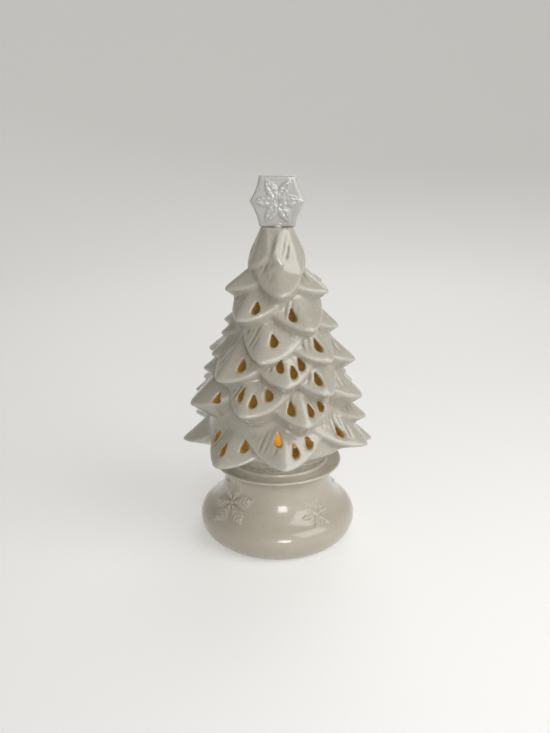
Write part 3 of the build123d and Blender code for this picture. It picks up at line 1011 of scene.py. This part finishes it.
    def hole_middle(self, bough: Bough, hole: Point) -> np.ndarray:
        """Where a teardrop meets its bough's face.

        Args:
            bough: The bough.
            hole: The teardrop's middle, to the right of and above the bough's tip.

        Returns:
            The point.
        """
        turn = math.radians(bough.azimuth)
        keel_fall = abs(hole[0]) * math.tan(math.radians(self.keel)) / math.cos(math.radians(bough.slope))
        out = bough.reach - hole[1] * math.tan(math.radians(bough.slope)) - keel_fall
        return np.array(
            [
                out * math.sin(turn) + hole[0] * math.cos(turn),
                -out * math.cos(turn) + hole[0] * math.sin(turn),
                self.mouth + bough.height + hole[1],
            ]
        )

    def cone(self, radius: np.ndarray, height: np.ndarray, low: Point, high: Point) -> np.ndarray:
        """Distances to a cone through two rings, each given by its radius and height."""
        slant = (low[0] - high[0]) / (high[1] - low[1])
        return (radius - (low[0] - (height - low[1]) * slant)) / math.sqrt(1.0 + slant * slant)

    def bough_patch(self, block: VoxelBlock, bough: Bough) -> tuple[np.ndarray, ...]:
        """Index the part of a space that one bough may fill.

        Args:
            block: The space round the tree.
            bough: The bough.

        Returns:
            The index arrays of the samples in it.
        """
        turn = math.radians(bough.azimuth)
        width = max(bough.left, bough.right)
        middle = 0.55 * bough.reach
        side = middle + 0.6 * width + 6.0
        tall = 0.5 * self.length * width + 8.0
        height = self.mouth + bough.height + tall - 10.0
        centre = (middle * math.sin(turn), -middle * math.cos(turn), height)
        return block.patch(centre, (side, side, tall + 4.0))

    def outer_field(self, block: VoxelBlock) -> np.ndarray:
        """Distances to the tree as if it were solid.

        Args:
            block: The space round the tree.

        Returns:
            The distances.
        """
        x, y, z = block.grid()
        radius = np.sqrt(x * x + y * y)
        skirt = (self.skirt_radius, self.mouth + self.skirt_height)
        collar = (self.collar_radius, self.mouth + self.collar_height)
        solid = self.cone(radius, z, skirt, (self.tip_radius, self.top))
        solid = smooth_max(solid, self.cone(radius, z, collar, skirt), self.skirt_round)
        collar_ring = np.maximum(radius - self.collar_radius, z - collar[1])
        solid = np.minimum(solid, collar_ring)
        for bough in self.boughs:
            patch = self.bough_patch(block, bough)
            leaf = self.bough_field(bough, *block.places(patch))
            solid[patch] = smooth_min(solid[patch], leaf, self.join_round)
        solid = smooth_max(solid, np.broadcast_to(z - self.top, solid.shape), self.top_round)
        return smooth_max(solid, np.broadcast_to(self.mouth - z, solid.shape), self.mouth_round)

    def shell_field(self, block: VoxelBlock, outer: np.ndarray) -> np.ndarray:
        """Distances to the hollow, pierced tree.

        Args:
            block: The space round the tree.
            outer: Distances to the tree as if it were solid.

        Returns:
            The distances.
        """
        x, y, z = block.grid()
        radius = np.sqrt(x * x + y * y)
        skirt = (self.skirt_radius - self.wall, self.mouth + self.skirt_height + self.inner_skirt_lift)
        collar = (self.collar_radius - self.wall, self.mouth + self.collar_height + self.inner_collar_lift)
        hollow = self.cone(radius, z, skirt, (self.tip_radius - self.wall, self.top))
        hollow = smooth_max(hollow, self.cone(radius, z, collar, skirt), self.hollow_round)
        ceiling = np.broadcast_to(z - self.hollow_top, hollow.shape)
        hollow = smooth_max(hollow, ceiling, self.hollow_round)
        mouth = np.maximum(radius - collar[0], z - collar[1] - self.mouth_overlap)
        hollow = np.minimum(hollow, mouth)
        pierced = [(bough, hole) for bough in self.boughs for hole in bough.holes]
        for bough, hole in pierced:
            middle = self.hole_middle(bough, hole)
            patch = block.patch(middle, (self.pocket + self.pocket_room,) * 3)
            squares = sum((place - part) ** 2 for place, part in zip(block.places(patch), middle))
            pocket = smooth_max(outer[patch] + self.wall, np.sqrt(squares) - self.pocket, self.pocket_round)
            hollow[patch] = smooth_min(hollow[patch], pocket, self.pocket_join)
        shell = smooth_max(outer, -hollow, self.inner_edge_round)
        for bough, hole in pierced:
            patch = block.patch(self.hole_middle(bough, hole), self.hole_room)
            cutter = self.hole_field(bough, hole, *block.places(patch))
            shell[patch] = smooth_max(shell[patch], -cutter, self.hole_round)
        peg = np.maximum(radius - self.peg_radius, self.top - self.peg_depth - z)
        return np.maximum(shell, -peg)

    def grooves(self, points: np.ndarray) -> np.ndarray:
        """How deep in a needle groove each point of the skin is.

        Args:
            points: The skin's points.

        Returns:
            0 beside the grooves to 1 in the deepest.
        """
        nearest = np.full(len(points), np.inf)
        depth = np.zeros(len(points))
        low, high = self.groove_span
        for bough in self.boughs:
            above = points[:, 2] - self.mouth - bough.height
            near = np.where((above > low) & (above < high))[0]
            places = points[near].T
            away = np.abs(self.bough_field(bough, *places))
            out, across, up = self.local(bough, *places)
            closer = (away < nearest[near]) & (out > 0)
            nearest[near[closer]] = away[closer]
            on_roof = ease(self.roof(bough, out, across, up), *self.groove_roof)
            depth[near[closer]] = (on_roof * self.needles(bough, across, up))[closer]
        return np.where(nearest < self.groove_skin, depth, 0.0)

    def build(self) -> bpy.types.Object:
        """Make the tree's mesh, with its glow, its pooling with painted shade and highlight, and the shade in
        its grooves painted at its points.

        Returns:
            The tree.
        """
        reach = max(bough.reach for bough in self.boughs) + self.room
        low = (-reach, -reach, self.mouth - self.room)
        block = VoxelBlock(low, (reach, reach, self.top + self.room), self.pitch)
        outer = self.outer_field(block)
        points, faces = block.skin(self.shell_field(block, outer), self.thinning)
        piece = mesh_piece("glazed_tree", points, faces)
        # Painted glow on the inner walls and the teardrops' walls, standing in for the tealight's light.
        depth = -block.sample(outer, points)
        paint(piece, "glow", ease(depth, *self.glow_depth))
        # Pooled glaze with painted shade in hollows, and a painted highlight on edges.
        pool_and_painted_light = block.sample(hollows(outer, self.pool_and_light_reach, self.pitch), points)
        paint(piece, "pool_and_painted_light", pool_and_painted_light * self.pool_and_light_share)
        # Painted shade in the needle grooves, weaker on the right faces.
        paint(piece, "groove", self.grooves(points))
        log.info("tree has %d triangles", sum(len(face) - 2 for face in faces))
        return piece

    def fit(self) -> bpy.types.Object:
        """Build and dress the tree in the frame.

        Returns:
            The tree.
        """
        piece = self.build()
        dress(piece, LIT_GLAZE.material())
        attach(piece, "tree")
        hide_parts("tree_shade")
        return piece


# Topper


SNOWFLAKE_ARMS = 6


def along_arm(right: np.ndarray, above: np.ndarray, degrees: float) -> tuple[np.ndarray, np.ndarray]:
    """Places as one arm of a snowflake sees them.

    Args:
        right: Places to the right of the snowflake's middle.
        above: Places above its middle.
        degrees: The arm's direction.

    Returns:
        How far along the arm and how far to its side each place is.
    """
    turn = math.radians(degrees)
    along = right * math.cos(turn) + above * math.sin(turn)
    return along, np.abs(above * math.cos(turn) - right * math.sin(turn))


@dataclass
class Topper:
    """The six-sided plaque with a leaf snowflake on each face, and the peg that holds it."""

    centre: float = 280.5
    half_height: float = 19.5
    side_reach: float = 21.6
    corner_reach: float = 14.2
    hollow: float = 1.2
    half_thickness: float = 4.5
    sink: float = 1.3
    arm_start: float = 0.8
    arm_end: float = 18.8
    arm_width: float = 4.9
    barb_pitch: float = 3.9
    rib: float = 0.9
    corner_round: float = 1.6
    edge_round: float = 2.0
    peg_radius: float = 4.0
    peg_foot: float = 253.0
    peg_length: float = 10.0
    # Spread and strength of the pooled glaze and painted shade in hollows, and of the painted highlight on
    # edges.
    pool_and_light_reach: int = 2
    pool_and_light_share: float = 0.8
    room: float = 2.0
    pitch: float = 0.5

    def outline(self, x: np.ndarray, z: np.ndarray) -> np.ndarray:
        """Distances to the plaque's outline.

        Args:
            x: Places to the right of its middle.
            z: Places above its middle.

        Returns:
            The distances.
        """
        run = self.side_reach - self.corner_reach
        length = math.hypot(run, self.half_height)
        across, along = self.half_height / length, run / length
        side = (np.abs(x) - self.side_reach) * across + np.abs(z) * along
        share = np.clip(np.abs(z) / self.half_height, 0.0, 1.0)
        side = side + 4.0 * self.hollow * share * (1.0 - share)
        return smooth_max(side, np.abs(z) - self.half_height, self.corner_round)

    def snowflake(self, x: np.ndarray, z: np.ndarray) -> np.ndarray:
        """Height of the six leaves, from 0 on the field to 1 on their ridges.

        Args:
            x: Places to the right of the middle.
            z: Places above the middle.

        Returns:
            The heights.
        """
        total = np.zeros(np.broadcast(x, z).shape)
        for arm in range(SNOWFLAKE_ARMS):
            along, across = along_arm(x, z, 360.0 / SNOWFLAKE_ARMS * arm)
            share = np.clip((along - self.arm_start) / (self.arm_end - self.arm_start), 0.0, 1.0)
            width = self.arm_width * np.maximum(np.sin(math.pi * share**0.85), 0.0) ** 0.75
            barb = 0.5 + 0.5 * np.cos(2.0 * math.pi * (along - 0.9 * across) / self.barb_pitch + 1.3 * arm)
            waver = wobble(0.9 * along + 0.4 * across, arm) ** 2
            leaf = ease(width - across, 0.0, 1.9) * (0.55 + 0.45 * barb * waver)
            rib = ease(self.rib - across, 0.0, self.rib) * ease(share, 0.1, 0.3)
            total = np.maximum(total, leaf * (1.0 - 0.45 * rib))
        return total

    def build(self) -> bpy.types.Object:
        """Make the plaque's mesh.

        Returns:
            The plaque.
        """
        reach = (self.side_reach + self.room, self.half_thickness + self.room)
        low = (-reach[0], -reach[1], self.peg_foot - self.room)
        block = VoxelBlock(low, (*reach, self.centre + self.half_height + self.room), self.pitch)
        x, y, z = block.grid()
        above = z - self.centre
        edge = self.outline(x, above)
        level = self.half_thickness - self.sink * (1.0 - self.snowflake(x, above))
        plaque = smooth_max(edge, np.abs(y) - level, self.edge_round)
        half_peg = 0.5 * self.peg_length
        peg_ends = np.abs(z - self.peg_foot - half_peg) - half_peg
        peg = np.maximum(np.sqrt(x * x + y * y) - self.peg_radius, peg_ends)
        solid = np.minimum(plaque, peg)
        points, faces = block.skin(solid)
        piece = mesh_piece("glazed_topper", points, faces)
        # Pooled glaze with painted shade in hollows, and a painted highlight on edges.
        pool_and_painted_light = block.sample(hollows(solid, self.pool_and_light_reach, self.pitch), points)
        paint(piece, "pool_and_painted_light", pool_and_painted_light * self.pool_and_light_share)
        return piece

    def fit(self) -> bpy.types.Object:
        """Build and dress the plaque in the frame.

        Returns:
            The plaque.
        """
        piece = self.build()
        dress(piece, PEARL_GLAZE.material())
        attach(piece, "tree")
        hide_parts("snowflake_topper")
        return piece


# Pedestal


class Flake(Enum):
    """The two kinds of snowflake that are raised on the pedestal."""

    LEAVES = "leaves"
    TWIGS = "twigs"


@dataclass(frozen=True)
class Relief:
    """One raised snowflake on the pedestal's skirt."""

    kind: Flake
    azimuth: float
    height: float
    radius: float
    turn: float
    rise: float
    barb_pitch: float = 4.2
    stem: float = 1.1
    twig: float = 0.85
    twig_places: tuple[float, ...] = (0.42, 0.66, 0.86)

    def turned(self) -> "Relief":
        """The same snowflake on the other side of the pedestal."""
        return replace(self, azimuth=self.azimuth + 180.0)

    def leaf_arm(self, along: np.ndarray, across: np.ndarray) -> np.ndarray:
        """Height of one barbed leaf, from 0 to 1.

        Args:
            along: Places along the leaf.
            across: Places to its side.

        Returns:
            The heights.
        """
        share = np.clip(along / self.radius, 0.0, 1.0)
        width = (0.5 + 0.42 * self.radius * share) * ease(1.0 - share, 0.0, 0.45)
        ridge = np.clip(1.0 - across / np.maximum(width, 0.1), 0.0, 1.0)
        barb = 0.75 + 0.25 * np.cos(2.0 * math.pi * (along - 0.9 * across) / self.barb_pitch)
        return barb * ridge**0.6 * ease(width - across, 0.0, 0.8) * (along > 0)

    def twig_arm(self, along: np.ndarray, across: np.ndarray) -> np.ndarray:
        """Height of one stem with its twigs, from 0 to 1.

        Args:
            along: Places along the stem.
            across: Places to its side.

        Returns:
            The heights.
        """
        ahead = along > 0
        total = ease(self.stem - across, 0.0, 0.9) * ahead * ease(self.radius - along, 0.0, 1.5)
        for place in self.twig_places:
            beside = np.abs(along - place * self.radius - 0.75 * across)
            length = 0.34 * self.radius * (1.2 - place)
            inside = ease(length - across, 0.0, 1.0) * ahead
            total = np.maximum(total, 0.9 * ease(self.twig - beside, 0.0, 0.8) * inside)
        return total

    def raised(self, right: np.ndarray, above: np.ndarray) -> np.ndarray:
        """Height of the snowflake, from 0 to 1.

        Args:
            right: Places to the right of its middle, along the skin.
            above: Places above its middle, along the skin.

        Returns:
            The heights.
        """
        arm_height = self.leaf_arm if self.kind is Flake.LEAVES else self.twig_arm
        total = np.zeros(np.broadcast(right, above).shape)
        for arm in range(SNOWFLAKE_ARMS):
            along, across = along_arm(right, above, 360.0 / SNOWFLAKE_ARMS * arm + self.turn)
            total = np.maximum(total, arm_height(along, across))
        return total


FRONT_RELIEFS = (
    Relief(Flake.LEAVES, -50.0, 38.0, 23.0, 18.0, 2.0),
    Relief(Flake.TWIGS, 37.0, 33.0, 13.5, 4.0, 1.0),
)


@dataclass
class Pedestal:
    """The hollow flared foot with its lip, seat and dish, and raised snowflakes on its skirt."""

    wall: float = 4.5
    foot_radius: float = 58.0
    foot_round: float = 1.6
    belly_radius: float = 66.5
    belly_height: float = 15.0
    shoulder_round: float = 13.0
    waist_radius: float = 45.0
    waist_height: float = 53.0
    lip_radius: float = 54.0
    lip_height: float = 66.0
    lip_thickness: float = 2.0
    seat_radius: float = 42.0
    seat_height: float = 68.0
    spigot_radius: float = 35.5
    spigot_top: float = 72.0
    dish_radius: float = 31.5
    dish_floor: float = 61.0
    dish_round: float = 1.5
    spigot_round: float = 0.8
    hollow_round: float = 4.0
    skin_step: float = 0.75
    inner_step: float = 3.0
    fine_turn: float = 0.6
    plain_turn: float = 2.0
    fine_reach: float = 24.0
    # Blur and strength of the pooled glaze with painted shade beside the snowflakes, and of the painted
    # highlight on their tops.
    pool_and_light_blur: int = 3
    pool_and_light_share: float = 2.0
    # A band on the lip's top face, between the lip and the seat, is painted lighter: painted light where the
    # boughs shade it.
    lip_painted_light: float = -0.9
    lit_band_below_lip: float = 1.6
    lit_band_below_seat: float = 0.1
    reliefs: tuple[Relief, ...] = (*FRONT_RELIEFS, *(relief.turned() for relief in FRONT_RELIEFS))

    def outside(self) -> list[Point]:
        """Outline of the outer skin, from the foot up to the seat.

        Returns:
            Radii and heights.
        """
        drop = self.belly_radius - self.waist_radius
        rise = self.waist_height - self.belly_height
        neck_round = (drop**2 + rise**2) / (2.0 * drop) - self.shoulder_round
        shoulder = (self.belly_radius - self.shoulder_round, self.belly_height)
        neck = (self.waist_radius + neck_round, self.waist_height)
        blend = math.degrees(math.atan2(neck[1] - shoulder[1], neck[0] - shoulder[0]))
        inset = self.belly_radius - self.foot_radius
        belly_round = (inset**2 + self.belly_height**2) / (2.0 * inset)
        belly = (self.belly_radius - belly_round, self.belly_height)
        foot_turn = -math.degrees(math.asin(self.belly_height / belly_round))
        flare_reach = self.lip_radius - self.waist_radius
        flare_rise = self.lip_height - self.lip_thickness - self.waist_height
        flare_round = (flare_reach**2 + flare_rise**2) / (2.0 * flare_reach)
        flare = (self.waist_radius + flare_round, self.waist_height)
        flare_turn = 180.0 - math.degrees(math.asin(min(1.0, flare_rise / flare_round)))
        lip = (self.lip_radius - 0.5 * self.lip_thickness, self.lip_height - 0.5 * self.lip_thickness)
        cove = self.seat_height - self.lip_height
        return [
            *arc(belly, belly_round, foot_turn + 4.0, 0.0, 14),
            *arc(shoulder, self.shoulder_round, 0.0, blend, 16)[1:],
            *arc(neck, neck_round, 180.0 + blend, 180.0, 26)[1:],
            *arc(flare, flare_round, 180.0, flare_turn, 12)[1:-1],
            *arc(lip, 0.5 * self.lip_thickness, -75.0, 90.0, 9),
            (self.seat_radius + 3.0 * cove, self.lip_height - 0.5),
            *arc((self.seat_radius + cove, self.seat_height - 0.2), cove, 270.0, 185.0, 7),
            (self.seat_radius - 0.8, self.seat_height),
        ]

    def inside(self) -> list[Point]:
        """Outline of the seat's spigot and the dish, from the seat to the middle of the dish's floor.

        Returns:
            Radii and heights.
        """
        spigot, dish = self.spigot_round, self.dish_round
        shoulder = self.spigot_top - spigot
        return [
            (self.spigot_radius, self.seat_height),
            (self.spigot_radius, shoulder),
            *arc((self.spigot_radius - spigot, shoulder), spigot, 0.0, 90.0, 4)[1:],
            *arc((self.dish_radius + spigot, shoulder), spigot, 90.0, 180.0, 4),
            (self.dish_radius, self.dish_floor + dish),
            *arc((self.dish_radius - dish, self.dish_floor + dish), dish, 0.0, -90.0, 5)[1:],
            (0.0, self.dish_floor),
        ]

    def underside(self) -> list[Point]:
        """Outline of the hollow under the dish, from the axis down to the foot ring.

        Returns:
            Radii and heights.
        """
        top = self.dish_floor - self.wall
        waist = self.waist_radius - self.wall
        belly = self.belly_radius - 2.0 * self.wall
        foot = self.foot_radius - 2.0 * self.wall
        return [
            (0.0, top),
            (waist - self.hollow_round, top),
            *arc((waist - self.hollow_round, top - self.hollow_round), self.hollow_round, 90.0, 0.0, 6)[1:],
            (waist, self.waist_height - 2.0),
            (waist + 4.2, 0.62 * self.waist_height),
            (belly - 2.0, self.belly_height + 5.0),
            (belly, self.belly_height),
            (foot + 2.4, 3.5),
            (foot, 1.0),
            (foot + 1.0, 0.0),
            (self.foot_radius - self.foot_round, 0.0),
            (self.foot_radius - 0.3, 0.5),
            (self.foot_radius + 0.25, 1.05),
        ]

    def columns(self) -> np.ndarray:
        """Angles of the mesh's columns, closer together where a snowflake is.

        Returns:
            The angles in radians.
        """
        turns: list[float] = []
        turn = -180.0
        while turn < 180.0 - self.fine_turn / 3.0:
            turns.append(turn)
            aways = [abs((turn - relief.azimuth + 180.0) % 360.0 - 180.0) for relief in self.reliefs]
            turn += self.fine_turn if min(aways) < self.fine_reach else self.plain_turn
        return np.radians(np.array(turns))

    def raised(self, skin: np.ndarray, turns: np.ndarray) -> np.ndarray:
        """How far the snowflakes rise from the outer skin.

        Args:
            skin: The skin's radii and heights.
            turns: The angles of the columns, in radians.

        Returns:
            The rise of each row in each column.
        """
        steps = np.linalg.norm(np.diff(skin, axis=0), axis=1)
        run = np.concatenate([[0.0], np.cumsum(steps)])
        raised = np.zeros((len(skin), len(turns)))
        for relief in self.reliefs:
            row = int(np.argmin(np.abs(skin[:, 1] - relief.height)))
            away = (turns - math.radians(relief.azimuth) + math.pi) % (2.0 * math.pi) - math.pi
            right = skin[row, 0] * away[None, :]
            above = (run - run[row])[:, None]
            raised = np.maximum(raised, relief.rise * relief.raised(right, above))
        return raised

    def pool_and_painted_light(self, raised: np.ndarray, heights: np.ndarray) -> np.ndarray:
        """How far the glaze pools beside the snowflakes, with painted shade there and a painted highlight on
        their tops, and the painted light on the lip's top face.

        Args:
            raised: The snowflakes' rise on the outer skin, whose points come first.
            heights: The height of each point of the mesh.

        Returns:
            Above nought for pooled glaze and painted shade, below nought for painted highlights and the lip's
            painted light.
        """
        soft = raised
        for axis in (0, 1):
            beside = np.roll(soft, self.pool_and_light_blur, axis) + np.roll(soft, -self.pool_and_light_blur, axis)
            soft = 0.5 * soft + 0.25 * beside
        pool_and_painted_light = np.zeros(len(heights))
        # Pooled glaze with painted shade beside the snowflakes, and a painted highlight on their tops.
        pool_and_painted_light[: raised.size] = (soft - raised).ravel() * self.pool_and_light_share
        # Painted light on the lip's top face.
        low, high = self.lip_height - self.lit_band_below_lip, self.seat_height - self.lit_band_below_seat
        pool_and_painted_light[(heights > low) & (heights < high)] = self.lip_painted_light
        return pool_and_painted_light

    def build(self) -> bpy.types.Object:
        """Make the pedestal's mesh, with its snowflakes raised from the skin.

        Returns:
            The pedestal.
        """
        turns = self.columns()
        skin = even_steps(self.outside(), self.skin_step)
        inner = even_steps(self.inside() + self.underside(), self.inner_step)
        points, faces = closed_lathe(np.vstack([skin, inner]), turns)
        ways = np.gradient(skin, axis=0)
        normals = np.stack([ways[:, 1], -ways[:, 0]], axis=1)
        normals /= np.linalg.norm(normals, axis=1)[:, None]
        raised = self.raised(skin, turns)
        grown = skin[:, None, :] + raised[:, :, None] * normals[:, None, :]
        points[: raised.size, 0] = (grown[:, :, 0] * np.sin(turns)[None, :]).ravel()
        points[: raised.size, 1] = (-grown[:, :, 0] * np.cos(turns)[None, :]).ravel()
        points[: raised.size, 2] = grown[:, :, 1].ravel()
        piece = mesh_piece("glazed_pedestal", points, faces)
        paint(piece, "pool_and_painted_light", self.pool_and_painted_light(raised, points[:, 2]))
        log.info("pedestal has %d faces", len(faces))
        return piece

    def fit(self) -> bpy.types.Object:
        """Build and dress the pedestal in the frame.

        Returns:
            The pedestal.
        """
        piece = self.build()
        dress(piece, SATIN_GLAZE.material())
        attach(piece, "pedestal")
        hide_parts("base_pedestal")
        return piece


# Tealight


@dataclass
class Tealight:
    """The battery tealight: its case and flame are finer meshes, and its works keep their solids."""

    case_radius: float = 18.75
    case_bottom: float = 61.0
    case_top: float = 78.0
    case_wall: float = 1.2
    rim: float = 2.2
    dip: float = 2.5
    top_thickness: float = 1.5
    flame_radius: float = 5.9
    neck_radius: float = 5.4
    hole_radius: float = 6.2
    flange_radius: float = 7.8
    flange_thickness: float = 1.0
    flame_tip: float = 96.0
    bore_radius: float = 2.65
    bore_top: float = 81.75
    flange_bore_radius: float = 3.05
    flame_belly: float = 0.26
    flame_rows: int = 40
    flute: float = 0.035
    flutes: float = 5.0
    lean: float = 0.5
    foot_round: float = 0.5
    rim_round: float = 1.1
    wax_round: float = 1.4
    wax_sag: float = 0.35
    wax_swell: float = 0.25
    hole_lip: float = 0.7
    hole_lip_drop: float = 0.4
    case_step: float = 2.0
    flame_step: float = 1.6
    columns: int = 96

    @property
    def wax(self) -> float:
        """Height of the melted-looking top."""
        return self.case_top - self.dip

    @property
    def under(self) -> float:
        """Height of the top's underside."""
        return self.wax - self.top_thickness

    def case(self) -> bpy.types.Object:
        """Make the case: a cup upside down with a rolled rim and a melted-looking top.

        Returns:
            The case.
        """
        wax, under = self.wax, self.under
        foot, rim, melt, lip = self.foot_round, self.rim_round, self.wax_round, self.hole_lip
        outline = [
            (self.case_radius - foot, self.case_bottom),
            *arc((self.case_radius - foot, self.case_bottom + foot), foot, -60.0, 0.0, 4),
            (self.case_radius, self.case_top - rim),
            *arc((self.case_radius - rim, self.case_top - rim), rim, 15.0, 165.0, 10),
            *arc((self.case_radius - self.rim - melt, wax + melt), melt, 0.0, -80.0, 6),
            (0.5 * (self.case_radius + self.hole_radius), wax - self.wax_sag),
            (self.hole_radius + 2.0 * lip, wax + self.wax_swell),
            *arc((self.hole_radius + lip, wax - self.hole_lip_drop), lip, 80.0, 180.0, 6),
            (self.hole_radius, under),
            (self.case_radius - self.case_wall, under),
            (self.case_radius - self.case_wall, self.case_bottom),
        ]
        profile = even_steps(outline + outline[:1], self.case_step)[:-1]
        return mesh_piece("ivory_tealight_case", *closed_lathe(profile, even_turns(self.columns)))

    def flame(self) -> bpy.types.Object:
        """Make the flame: a hollow teardrop that leans and twists a little, on its flange.

        Returns:
            The flame.
        """
        wax, under, belly = self.wax, self.under, self.flame_belly
        bottom = under - self.flange_thickness
        rise = np.linspace(0.0, 1.0, self.flame_rows)
        swell = np.where(
            rise < belly,
            self.neck_radius + (self.flame_radius - self.neck_radius) * np.sin(0.5 * math.pi * rise / belly),
            self.flame_radius * np.cos(0.5 * math.pi * ((rise - belly) / (1.0 - belly)) ** 1.15) ** 0.92,
        )
        swell[-1] = 0.0
        heights = wax + rise * (self.flame_tip - wax)
        outline = [
            (0.0, self.bore_top),
            (0.6 * self.bore_radius, self.bore_top - 0.3),
            (self.bore_radius, self.bore_top - 1.4),
            (self.bore_radius, bottom + 1.2),
            (self.flange_bore_radius, bottom + 1.0),
            (self.flange_bore_radius, bottom),
            (self.flange_radius, bottom),
            (self.flange_radius, under),
            (self.neck_radius, under),
            *zip(swell.tolist(), heights.tolist()),
        ]
        points, faces = lathe(even_steps(outline, self.flame_step), even_turns(self.columns))
        share = np.clip((points[:, 2] - wax) / (self.flame_tip - wax), 0.0, 1.0)
        radius = np.hypot(points[:, 0], points[:, 1])
        turn = np.arctan2(points[:, 1], points[:, 0])
        outer = radius > self.bore_radius + 0.2
        wave = 1.0 + np.cos(self.flutes * (turn + share))
        flute = np.where(outer, 1.0 - self.flute * share * wave, 1.0)
        points[:, 0] = points[:, 0] * flute + self.lean * share**2 * (1.0 - share)
        points[:, 1] = points[:, 1] * flute
        return mesh_piece("amber_flame", points, faces)

    def fit(self) -> list[bpy.types.Object]:
        """Build and dress the tealight in the frame.

        Returns:
            The new pieces.
        """
        case, flame = self.case(), self.flame()
        ivory = IVORY_PLASTIC.material()
        for piece, node, slot, material in (
            (case, "tealight_case", "ivory_plastic", ivory),
            (flame, "tealight_flame", "amber_plastic", AMBER_PLASTIC.material()),
        ):
            dress(piece, material)
            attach(piece, "tealight")
            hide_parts(node)
        wire, strip = TINNED_WIRE.material(), SPRING_STRIP.material()
        works = {
            "tealight_led": LAMP_RESIN.material(),
            "led_lead_positive": wire,
            "led_lead_negative": wire,
            "tealight_bottom_plate": ivory,
            "battery_cell": CELL_STEEL.material(),
            "battery_door": ivory,
            "contact_positive": strip,
            "contact_negative": strip,
            "switch_slider": BLACK_PLASTIC.material(),
        }
        for node, material in works.items():
            dress(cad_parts[node], material)
            log.info("%s keeps its solid, in %s", node, material.name)
        return [case, flame]


# Studio


@dataclass(frozen=True)
class SoftLamp:
    """A soft square lamp, placed by angles from the camera's side and the floor, in metres and watts."""

    name: str
    azimuth: float
    elevation: float
    away: float
    size: float
    power: float
    spread: float = 180.0

    def hang(self, aim: Vector) -> None:
        """Add the lamp.

        Args:
            aim: The point that it looks at.
        """
        data = bpy.data.lights.new(self.name, "AREA")
        data.energy = self.power
        data.size = self.size
        data.spread = math.radians(self.spread)
        turn, rise = math.radians(self.azimuth), math.radians(self.elevation)
        out = Vector((math.sin(turn) * math.cos(rise), -math.cos(turn) * math.cos(rise), math.sin(rise)))
        lamp = add_object(self.name, data)
        lamp.location = aim + out * self.away
        lamp.rotation_euler = (-out).to_track_quat("-Z", "Y").to_euler()


@dataclass
class Studio:
    """Pale paper, soft lamps and the camera at the photo's place."""

    image_width: float = 550.0
    focal_pixels: float = 750.0
    axis_pixel: float = 277.5
    sensor: float = 36.0
    pitch_down: float = 18.0
    distance: float = 0.6202
    target_height: float = 0.1463
    flat_radius: float = 1.2
    bend_radius: float = 1.5
    bend_turns: Point = (0.1, 1.3)
    paper_columns: int = 96
    aim_height: float = 0.14
    air_colour: Colour = (1.0, 0.94, 0.83)
    air_strength: float = 0.24
    flame_height: float = 0.099
    flame_power: float = 0.03
    flame_colour: Colour = (1.0, 0.50, 0.10)
    flame_size: float = 0.003
    lamps: tuple[SoftLamp, ...] = (
        SoftLamp("window_lamp", 58.0, 38.0, 0.75, 0.55, 2.6),
        SoftLamp("front_lamp", 10.0, 14.0, 1.0, 0.3, 0.5, 75.0),
        SoftLamp("left_fill", -70.0, 25.0, 1.4, 1.0, 0.2),
        SoftLamp("back_fill", 165.0, 42.0, 1.5, 1.0, 5.0),
    )

    def camera(self) -> None:
        """Set the camera up at the photo's viewing angle."""
        data = bpy.data.cameras.new("photo_camera")
        data.sensor_fit = "HORIZONTAL"
        data.sensor_width = self.sensor
        data.lens = self.sensor * self.focal_pixels / self.image_width
        data.shift_x = -(self.axis_pixel - 0.5 * self.image_width) / self.image_width
        data.dof.use_dof = False
        camera = add_object("photo_camera", data)
        down = math.radians(self.pitch_down)
        camera.location = (
            0.0,
            -self.distance * math.cos(down),
            self.target_height + self.distance * math.sin(down),
        )
        camera.rotation_euler = (0.5 * math.pi - down, 0.0, 0.0)
        bpy.context.scene.camera = camera

    def flame_light(self) -> None:
        """Add the small warm light that the flame throws on the inside of the tree."""
        data = bpy.data.lights.new("flame_light", "POINT")
        data.energy = self.flame_power
        data.color = self.flame_colour
        data.shadow_soft_size = self.flame_size
        add_object("flame_light", data).location = (0.0, 0.0, self.flame_height)

    def paper(self) -> bpy.types.Object:
        """Lay a sheet of paper that stands up behind the object on all sides in a wide curve.

        Returns:
            The paper.
        """
        flat = [(out, 0.0) for out in np.linspace(0.0, self.flat_radius, 4)]
        bend = [
            (self.flat_radius + self.bend_radius * math.sin(turn), self.bend_radius * (1.0 - math.cos(turn)))
            for turn in np.linspace(*self.bend_turns, 12)
        ]
        points, faces = lathe(np.array(flat + bend), even_turns(self.paper_columns))
        sheet = mesh_piece("studio_paper", points / MM, faces)
        dress(sheet, STUDIO_PAPER.material())
        return sheet

    def light(self) -> None:
        """Light the studio softly, more from the right."""
        world = bpy.data.worlds.new("studio_air")
        world.use_nodes = True
        background = world.node_tree.nodes["Background"]
        background.inputs["Color"].default_value = (*self.air_colour, 1.0)
        background.inputs["Strength"].default_value = self.air_strength
        bpy.context.scene.world = world
        for lamp in self.lamps:
            lamp.hang(Vector((0.0, 0.0, self.aim_height)))
        self.flame_light()

    def fit(self) -> None:
        """Set up the studio."""
        bpy.context.scene.view_settings.view_transform = "Standard"
        self.paper()
        self.light()
        self.camera()


def main() -> None:
    """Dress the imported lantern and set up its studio."""
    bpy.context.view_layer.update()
    pieces = [TreeShade().fit(), Topper().fit(), Pedestal().fit(), *Tealight().fit()]
    Studio().fit()


if __name__ == "__main__":
    main()
